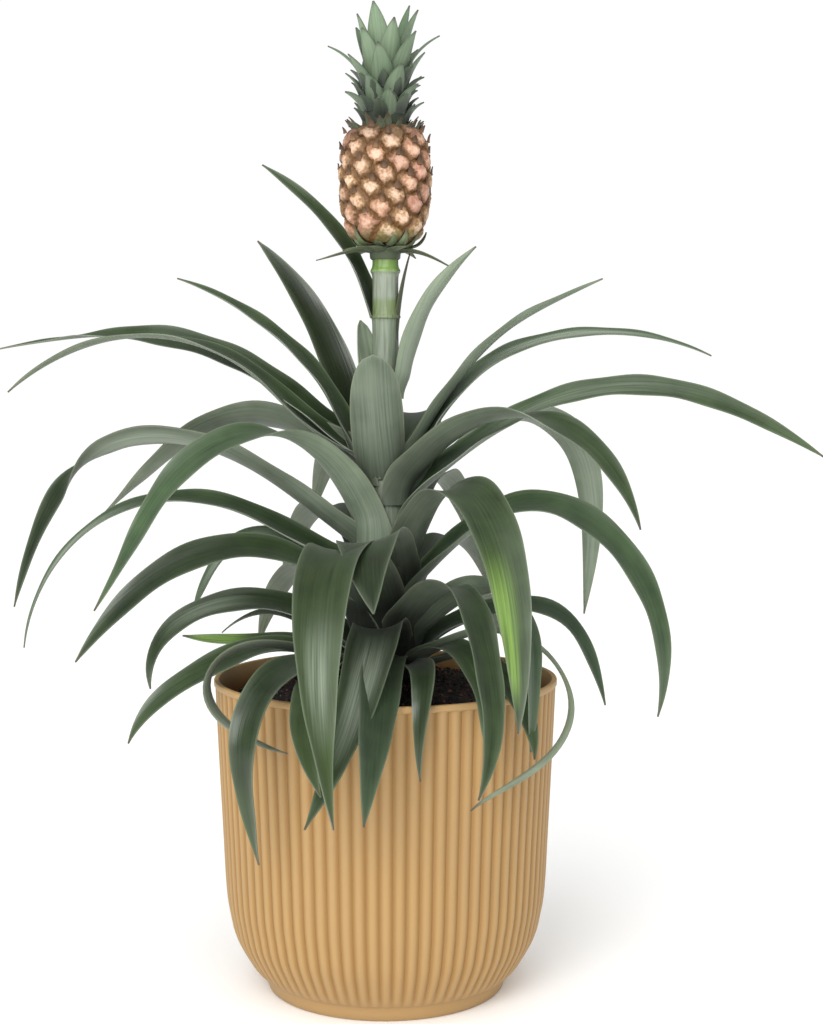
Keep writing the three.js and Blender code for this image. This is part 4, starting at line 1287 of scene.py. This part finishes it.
@dataclass
class Fruit:
    """The fruit: swollen eyes on a golden-angle spiral, in a ragged net of seams, each with a dry
    bract tip, and leaflets round its two ends."""

    base: float = 303.4
    height: float = 46.6
    radius: float = 16.6
    end_share: float = 0.55
    belly_lift: float = 1.15
    belly_power: float = 2.4
    eye_spacing: float = 8.6
    lowest_eye: float = 2.4
    top_margin: float = 1.6
    eye_rise: float = 2.2
    eye_slope: float = 3.2
    bract_sunk: float = 0.25
    seam_wander: float = 0.9
    wrinkle: float = 0.22
    rings: int = 150
    segments: int = 360
    top_leaflets: int = 22
    foot_leaflets: int = 15
    seed: int = 5

    # Size and strength of the waves in the seams, and of the wrinkles
    WAVES = ((2.6, 1.0), (1.1, 0.5))
    WRINKLES = ((0.9, 1.0), (0.45, 0.6))
    # Lengths at the foot and at the top over which the relief fades, and the share that is left
    FOOT_FADE, TOP_FADE, END_RELIEF = 3.0, 2.5, 0.3
    # Depth of a pale pad below its eye's middle, its size, and where the seams' colour fades
    PAD_DROP, PAD_MM, SEAM_MM = 0.6, 4.1, (0.1, 2.1)
    # Most pink of any eye, and the blush on one side at half height: azimuth, strength and fades
    PINK_MOST = 0.45
    ROSY_SIDE, BLUSH, BLUSH_AROUND, BLUSH_UP = -35.0, 0.4, (10, 26), (0.1, 0.24)
    # Limits of an eye's brightness; strengths and zones of the green foot and the shaded top
    EYE_SHADES = (0.86, 1.1)
    GREEN, GREEN_ZONE = 0.6, (0.02, 0.16)
    TOP_SHADE, TOP_SHADE_ZONE = 0.4, (0.8, 0.98)
    # What the small blades on it share
    SMALL = {"growth": Growth.SPIKE, "edge": 0.3, "columns": 4}

    def radius_at(self, z: Number) -> Number:
        """Radius of the fruit's body at a height."""
        t = np.clip((z - self.base) / self.height, 0, 1)
        off = np.abs(2 * t ** self.belly_lift - 1)
        belly = np.sqrt(np.maximum(0, 1 - off ** self.belly_power))
        return self.radius * between(self.end_share, 1, belly)

    def eyes(self) -> np.ndarray:
        """Centres of the eyes on the fruit's body."""
        skin = self.eye_spacing ** 2 * math.sin(math.pi / 3)
        centres = []
        z = self.base + self.lowest_eye
        while z < self.base + self.height - self.top_margin:
            angle = math.radians(GOLDEN_ANGLE * len(centres))
            r = float(self.radius_at(z))
            centres.append((r * math.cos(angle), r * math.sin(angle), z))
            z += skin / (2 * math.pi * r)
        return np.array(centres)

    def build(self) -> bpy.types.Object:
        """Makes the fruit and dresses it."""
        draw = random.Random(self.seed)
        noise.seed_set(self.seed)
        eyes = self.eyes()
        top = self.base + self.height
        t = np.linspace(0, 1, self.rings)
        z = self.base + self.height * (0.5 - 0.5 * np.cos(math.pi * t))
        body = turned_grid(np.stack([z, self.radius_at(z)], axis=1), self.segments)
        wander = np.array([sum((noise.noise_vector(Vector(p) / size) * much for size, much in self.WAVES),
                               Vector()) for p in body])
        creased = np.array([sum(much * noise.noise(Vector(p) / size) for size, much in self.WRINKLES)
                            for p in body])
        strayed = body + self.seam_wander * wander
        gap = np.linalg.norm(strayed[:, None] - eyes[None], axis=2)
        order = np.argsort(gap, axis=1)[:, :2]
        rows = np.arange(len(body))
        nearest, second = order[:, 0], order[:, 1]
        apart = np.linalg.norm(eyes[nearest] - eyes[second], axis=1)
        to_seam = (gap[rows, second] ** 2 - gap[rows, nearest] ** 2) / (2 * apart)
        swell = self.eye_rise * (1 - (1 - np.clip(to_seam / self.eye_slope, 0, 1)) ** 2)
        outward = body * (1, 1, 0)
        outward /= np.linalg.norm(outward, axis=1)[:, None]
        away = hump(body[:, 2], (self.base, self.base + self.FOOT_FADE), (top - self.TOP_FADE, top))
        relief = (swell + self.wrinkle * creased) * between(self.END_RELIEF, 1, away)
        shade = np.array([draw.uniform(*self.EYE_SHADES) for _ in eyes])
        turned_away = np.abs(np.degrees(np.arctan2(eyes[:, 1], eyes[:, 0])) - self.ROSY_SIDE)
        off_middle = np.abs((eyes[:, 2] - self.base) / self.height - 0.5)
        blush = 1 - smoothstep(turned_away, *self.BLUSH_AROUND)
        blush *= 1 - smoothstep(off_middle, *self.BLUSH_UP)
        pink = np.array([draw.random() ** 2 * self.PINK_MOST for _ in eyes]) + self.BLUSH * blush
        from_pad = np.linalg.norm(strayed - (eyes[nearest] - (0, 0, self.PAD_DROP)), axis=1)
        share = (body[:, 2] - self.base) / self.height
        marks = {
            "pad": 1 - smoothstep(from_pad, 0.0, self.PAD_MM),
            "seam": 1 - smoothstep(to_seam, *self.SEAM_MM),
            "rosy": pink[nearest],
            "green": self.GREEN * (1 - smoothstep(share, *self.GREEN_ZONE)),
            "shade": shade[nearest] * (1 - self.TOP_SHADE * smoothstep(share, *self.TOP_SHADE_ZONE)),
        }
        faces = grid_faces(self.rings, self.segments, around=True)
        points = cap_ends(body + outward * relief[:, None], faces, self.segments)
        marks = {name: np.concatenate([value, value[-2:]]) for name, value in marks.items()}
        surface = Surface()
        surface.add(points, faces, 0, marks)
        for tip in self.eye_bracts(eyes, draw):
            tip.grow(surface, 1)
        for leaflet in self.end_leaflets(draw):
            leaflet.grow(surface, 3)
        finishes = [FruitRind("fruit_rind"), DRY_BRACT_SKIN, DRY_BRACT_SKIN, *BRACT_SKINS]
        return surface.piece("fruit_rind", "fruit", "fruit_skin", finishes, 60)

    def eye_bracts(self, eyes: np.ndarray, draw: random.Random) -> list[Blade]:
        """The dry bract over each eye, rooted under its middle, with its tip over the seam above.

        Args:
            eyes: centres of the eyes.
            draw: source of the bracts' differences.

        Returns:
            The bracts.
        """
        bracts = []
        for x, y, z in eyes:
            azimuth = math.degrees(math.atan2(y, x))
            lean_in = 30 * smoothstep((z - self.base) / self.height, 0.75, 1.0)
            lean = draw.uniform(-8, 6) + lean_in
            bracts.append(Blade(
                "fruit", azimuth + draw.uniform(-4, 4), z + draw.uniform(1.7, 2.6),
                length=draw.uniform(2.6, 4.0), lean=(lean - 14, lean, lean + 8, lean + 14),
                width=draw.uniform(2.4, 3.6), start=math.hypot(x, y) + self.eye_rise - self.bract_sunk,
                twist=draw.uniform(-20, 20), tone=(draw.uniform(-0.4, 0.4), draw.uniform(-0.8, -0.3)),
                thickness=(0.7, 0.35), step_mm=0.8, dry_from=1, **self.SMALL,
            ))
        return bracts

    def end_leaflets(self, draw: random.Random) -> list[Blade]:
        """The dry leaflets round the crown's foot and the green ones under the lowest eyes.

        Args:
            draw: source of their differences.

        Returns:
            The leaflets.
        """
        top = self.base + self.height
        leaflets = []
        for i in range(self.top_leaflets):
            lean = draw.uniform(6, 32)
            leaflets.append(Blade(
                "fruit", GOLDEN_ANGLE * i, top - draw.uniform(1.5, 3.5), length=draw.uniform(4.5, 7.5),
                lean=(lean, lean + 4, lean + 16, lean + 30), width=draw.uniform(2.6, 4.0),
                start=draw.uniform(10.5, 13.0), twist=draw.uniform(-25, 25), thickness=(0.7, 0.35),
                step_mm=0.9, tone=(-0.2, -0.5), warmth=(-0.2, -0.2), dry_from=0.15, **self.SMALL,
            ))
        for i in range(self.foot_leaflets):
            more = draw.uniform(-4, 12)
            tone = draw.uniform(-0.6, 0.5)
            leaflets.append(Blade(
                "fruit", GOLDEN_ANGLE * i + 10, self.base - draw.uniform(0.6, 1.2),
                length=draw.uniform(8.0, 14.0), lean=(96, 74 + more, 32 + more, 4 + more),
                width=draw.uniform(3.0, 4.8), twist=draw.uniform(-30, 30), start=6.2, thickness=(0.8, 0.35),
                step_mm=0.9, tone=(tone, tone + 0.3), warmth=(draw.uniform(0, 0.5), 0.2),
                dry_from=draw.uniform(0.25, 0.8), **self.SMALL,
            ))
        return leaflets


@dataclass
class Crown:
    """The crown: a slim core under short leaves that spread at the bottom and stand upright at the
    top, with smaller dark leaves between them low down."""

    base: float = 350.3
    core_height: float = 26.0
    core_radius: float = 9.2
    core_steps: int = 8
    segments: int = 40
    roots: tuple[float, float] = (0.8, 22.9)
    count: int = 30
    long_from: float = 0.75
    seed: int = 7
    fillers: int = 30
    filler_zone: float = 17.0

    # Core: share of its height, share of its radius
    CORE = ((0, 1), (0.6, 0.95), (1, 0.7))
    CORE_MARKS = {"margin": 5.0, "tone": -0.95}
    # Some leaves stray: each leans this much more, reaches further out and is narrower
    STRAYS = (17, 21)
    STRAY_LEAN, STRAY_LENGTH, STRAY_WIDTH = 12, 1.1, 0.5

    def blades(self) -> list[Blade]:
        """The crown's leaves, placed by the same rule and numbers as those of the plain crown."""
        draw = Draws(self.seed)
        leaves = []
        for i in range(self.count):
            t = i / (self.count - 1)
            more_lean, longer, narrower = 0, 1, 1
            if i in self.STRAYS:
                more_lean, longer, narrower = self.STRAY_LEAN, self.STRAY_LENGTH, self.STRAY_WIDTH
            lean = between(29, 5, t) + 8 * draw.next() + more_lean
            grown = min(t / self.long_from, 1)
            length = (between(9, 23, grown) + 3 * draw.next()) * longer
            turn = 20 * (draw.next() - 0.5)
            twist = 30 * (draw.next() - 0.5)
            leaves.append(Blade(
                "crown", GOLDEN_ANGLE * i, self.base + between(*self.roots, t), length,
                lean=(lean * 0.4, lean, lean * 1.6, lean * 2.1), width=between(8.5, 11.5, t) * narrower,
                turn=turn, twist=twist, start=self.core_radius * between(0.9, 0.68, t),
                thickness=(1.0, 0.5), step_mm=1.2, columns=8, growth=Growth.SPIKE, warmth=(0.15, 0.05),
                tone=(between(-0.48, -0.03, t), between(0.15, 0.4, t)), dry_from=0.84,
            ))
        return leaves

    def low_blades(self) -> list[Blade]:
        """Short dark leaves that close the gaps round the crown's foot."""
        draw = random.Random(self.seed)
        leaves = []
        for i in range(self.fillers):
            lean = draw.uniform(20, 44)
            leaves.append(Blade(
                "crown", GOLDEN_ANGLE * i + 70, self.base + self.filler_zone * i / self.fillers,
                length=draw.uniform(6.5, 10.0), lean=(lean * 0.6, lean, lean * 1.5, lean * 1.9),
                width=draw.uniform(4.5, 7.5), twist=draw.uniform(-15, 15), start=self.core_radius - 0.4,
                thickness=(0.9, 0.45), step_mm=1.2, columns=6, growth=Growth.SPIKE, tone=(-0.8, -0.35),
                warmth=(-0.4, -0.2), dry_from=0.7,
            ))
        return leaves

    def build(self) -> bpy.types.Object:
        """Makes the crown and dresses it."""
        surface = Surface()
        for blade in (*self.blades(), *self.low_blades()):
            blade.grow(surface)
        places = [(self.base + self.core_height * high, self.core_radius * wide) for high, wide in self.CORE]
        profile = curve_through(np.array(places), self.core_steps)
        faces = grid_faces(len(profile), self.segments, around=True)
        points = cap_ends(turned_grid(profile, self.segments), faces, self.segments)
        surface.add(points, faces, 0, self.CORE_MARKS)
        return surface.piece("crown_leaves", "crown", "crown_leaf", CROWN_SKINS)


@dataclass
class Studio:
    """Pale floor, soft light and the camera."""

    floor_radius_m: float = 30.0
    camera_distance: float = 740.0
    camera_height: float = 254.5
    camera_pitch: float = 4.58
    camera_yaw: float = 0.82
    focal_pixels: float = 1824.0
    sensor_mm: float = 36.0
    fill_light: float = 0.7
    mirrored_light: float = 0.22
    backdrop_brightness: float = 1.02
    key_light: float = 1.8
    key_softness: float = 80.0
    softbox_watts: float = 11.0
    softbox_size_m: float = 0.55
    softbox_height_m: float = 1.0

    KEY_DIRECTION = (-0.08, -0.72, 0.86)
    SOFTBOX_PLACE = (-0.4, -1.15, 0.75)
    LIT_POINT = (0.0, 0.0, 0.2)

    def lay_floor(self) -> bpy.types.Object:
        """Makes the floor."""
        mesh = bpy.data.meshes.new("studio_floor")
        r = self.floor_radius_m
        mesh.from_pydata([(-r, -r, 0), (r, -r, 0), (r, r, 0), (-r, r, 0)], [], [(0, 1, 2, 3)])
        mesh.materials.append(PaperSheet("pale_paper").material())
        floor = put("studio_floor", mesh)
        return floor

    def light(self) -> None:
        """Sets the even pale surroundings, which shiny skins mirror only faintly, and the key lights."""
        world = bpy.data.worlds.new("soft_surroundings")
        bpy.context.scene.world = world
        world.use_nodes = True
        tree = world.node_tree
        tree.nodes.clear()
        ray = add_node(tree, "ShaderNodeLightPath").outputs
        reflected = add_node(tree, "ShaderNodeMapRange", None, {
            "Value": ray["Is Glossy Ray"],
            "To Min": self.fill_light,
            "To Max": self.mirrored_light,
        })
        strength = add_node(tree, "ShaderNodeMapRange", None, {
            "Value": ray["Is Camera Ray"],
            "To Min": reflected.outputs["Result"],
            "To Max": self.backdrop_brightness,
        })
        background = add_node(tree, "ShaderNodeBackground", None, {
            "Color": "#ffffff",
            "Strength": strength.outputs["Result"],
        })
        add_node(tree, "ShaderNodeOutputWorld", None, {"Surface": background.outputs["Background"]})
        key = bpy.data.lights.new("key", "SUN")
        key.energy = self.key_light
        key.angle = math.radians(self.key_softness)
        put("key", key).rotation_euler = Vector(self.KEY_DIRECTION).to_track_quat("Z", "Y").to_euler()
        box = bpy.data.lights.new("softbox", "AREA")
        box.shape = "RECTANGLE"
        box.size = self.softbox_size_m
        box.size_y = self.softbox_height_m
        box.energy = self.softbox_watts
        stand = put("softbox", box)
        stand.location = self.SOFTBOX_PLACE
        away = Vector(self.SOFTBOX_PLACE) - Vector(self.LIT_POINT)
        stand.rotation_euler = away.to_track_quat("Z", "Y").to_euler()

    def place_camera(self) -> None:
        """Puts the camera at the photograph's viewing angle."""
        data = bpy.data.cameras.new("camera")
        data.sensor_width = self.sensor_mm
        data.lens = self.focal_pixels / max(PICTURE_WIDTH, PICTURE_HEIGHT) * self.sensor_mm
        camera = put("camera", data)
        camera.location = Vector((0, -self.camera_distance, self.camera_height)) * METRES
        camera.rotation_euler = (math.radians(90 - self.camera_pitch), 0, -math.radians(self.camera_yaw))
        bpy.context.scene.camera = camera

    def build(self) -> None:
        """Sets the whole stage."""
        self.lay_floor()
        self.light()
        self.place_camera()
        bpy.context.scene.view_settings.view_transform = "Standard"


def main() -> None:
    """Builds and dresses the plant, piece by piece."""
    logging.basicConfig(level=logging.INFO, format="%(message)s")
    plant = PlantPot(), PottingSoil(), FlowerStalk(), Rosette(), StalkBract(), FruitBracts(), Fruit(), Crown()
    for part in plant:
        made = part.build()
        for piece in made if isinstance(made, list) else [made]:
            log.info("%s: %d faces", piece.name, len(piece.data.polygons))
    Studio().build()


if __name__ == "__main__":
    main()
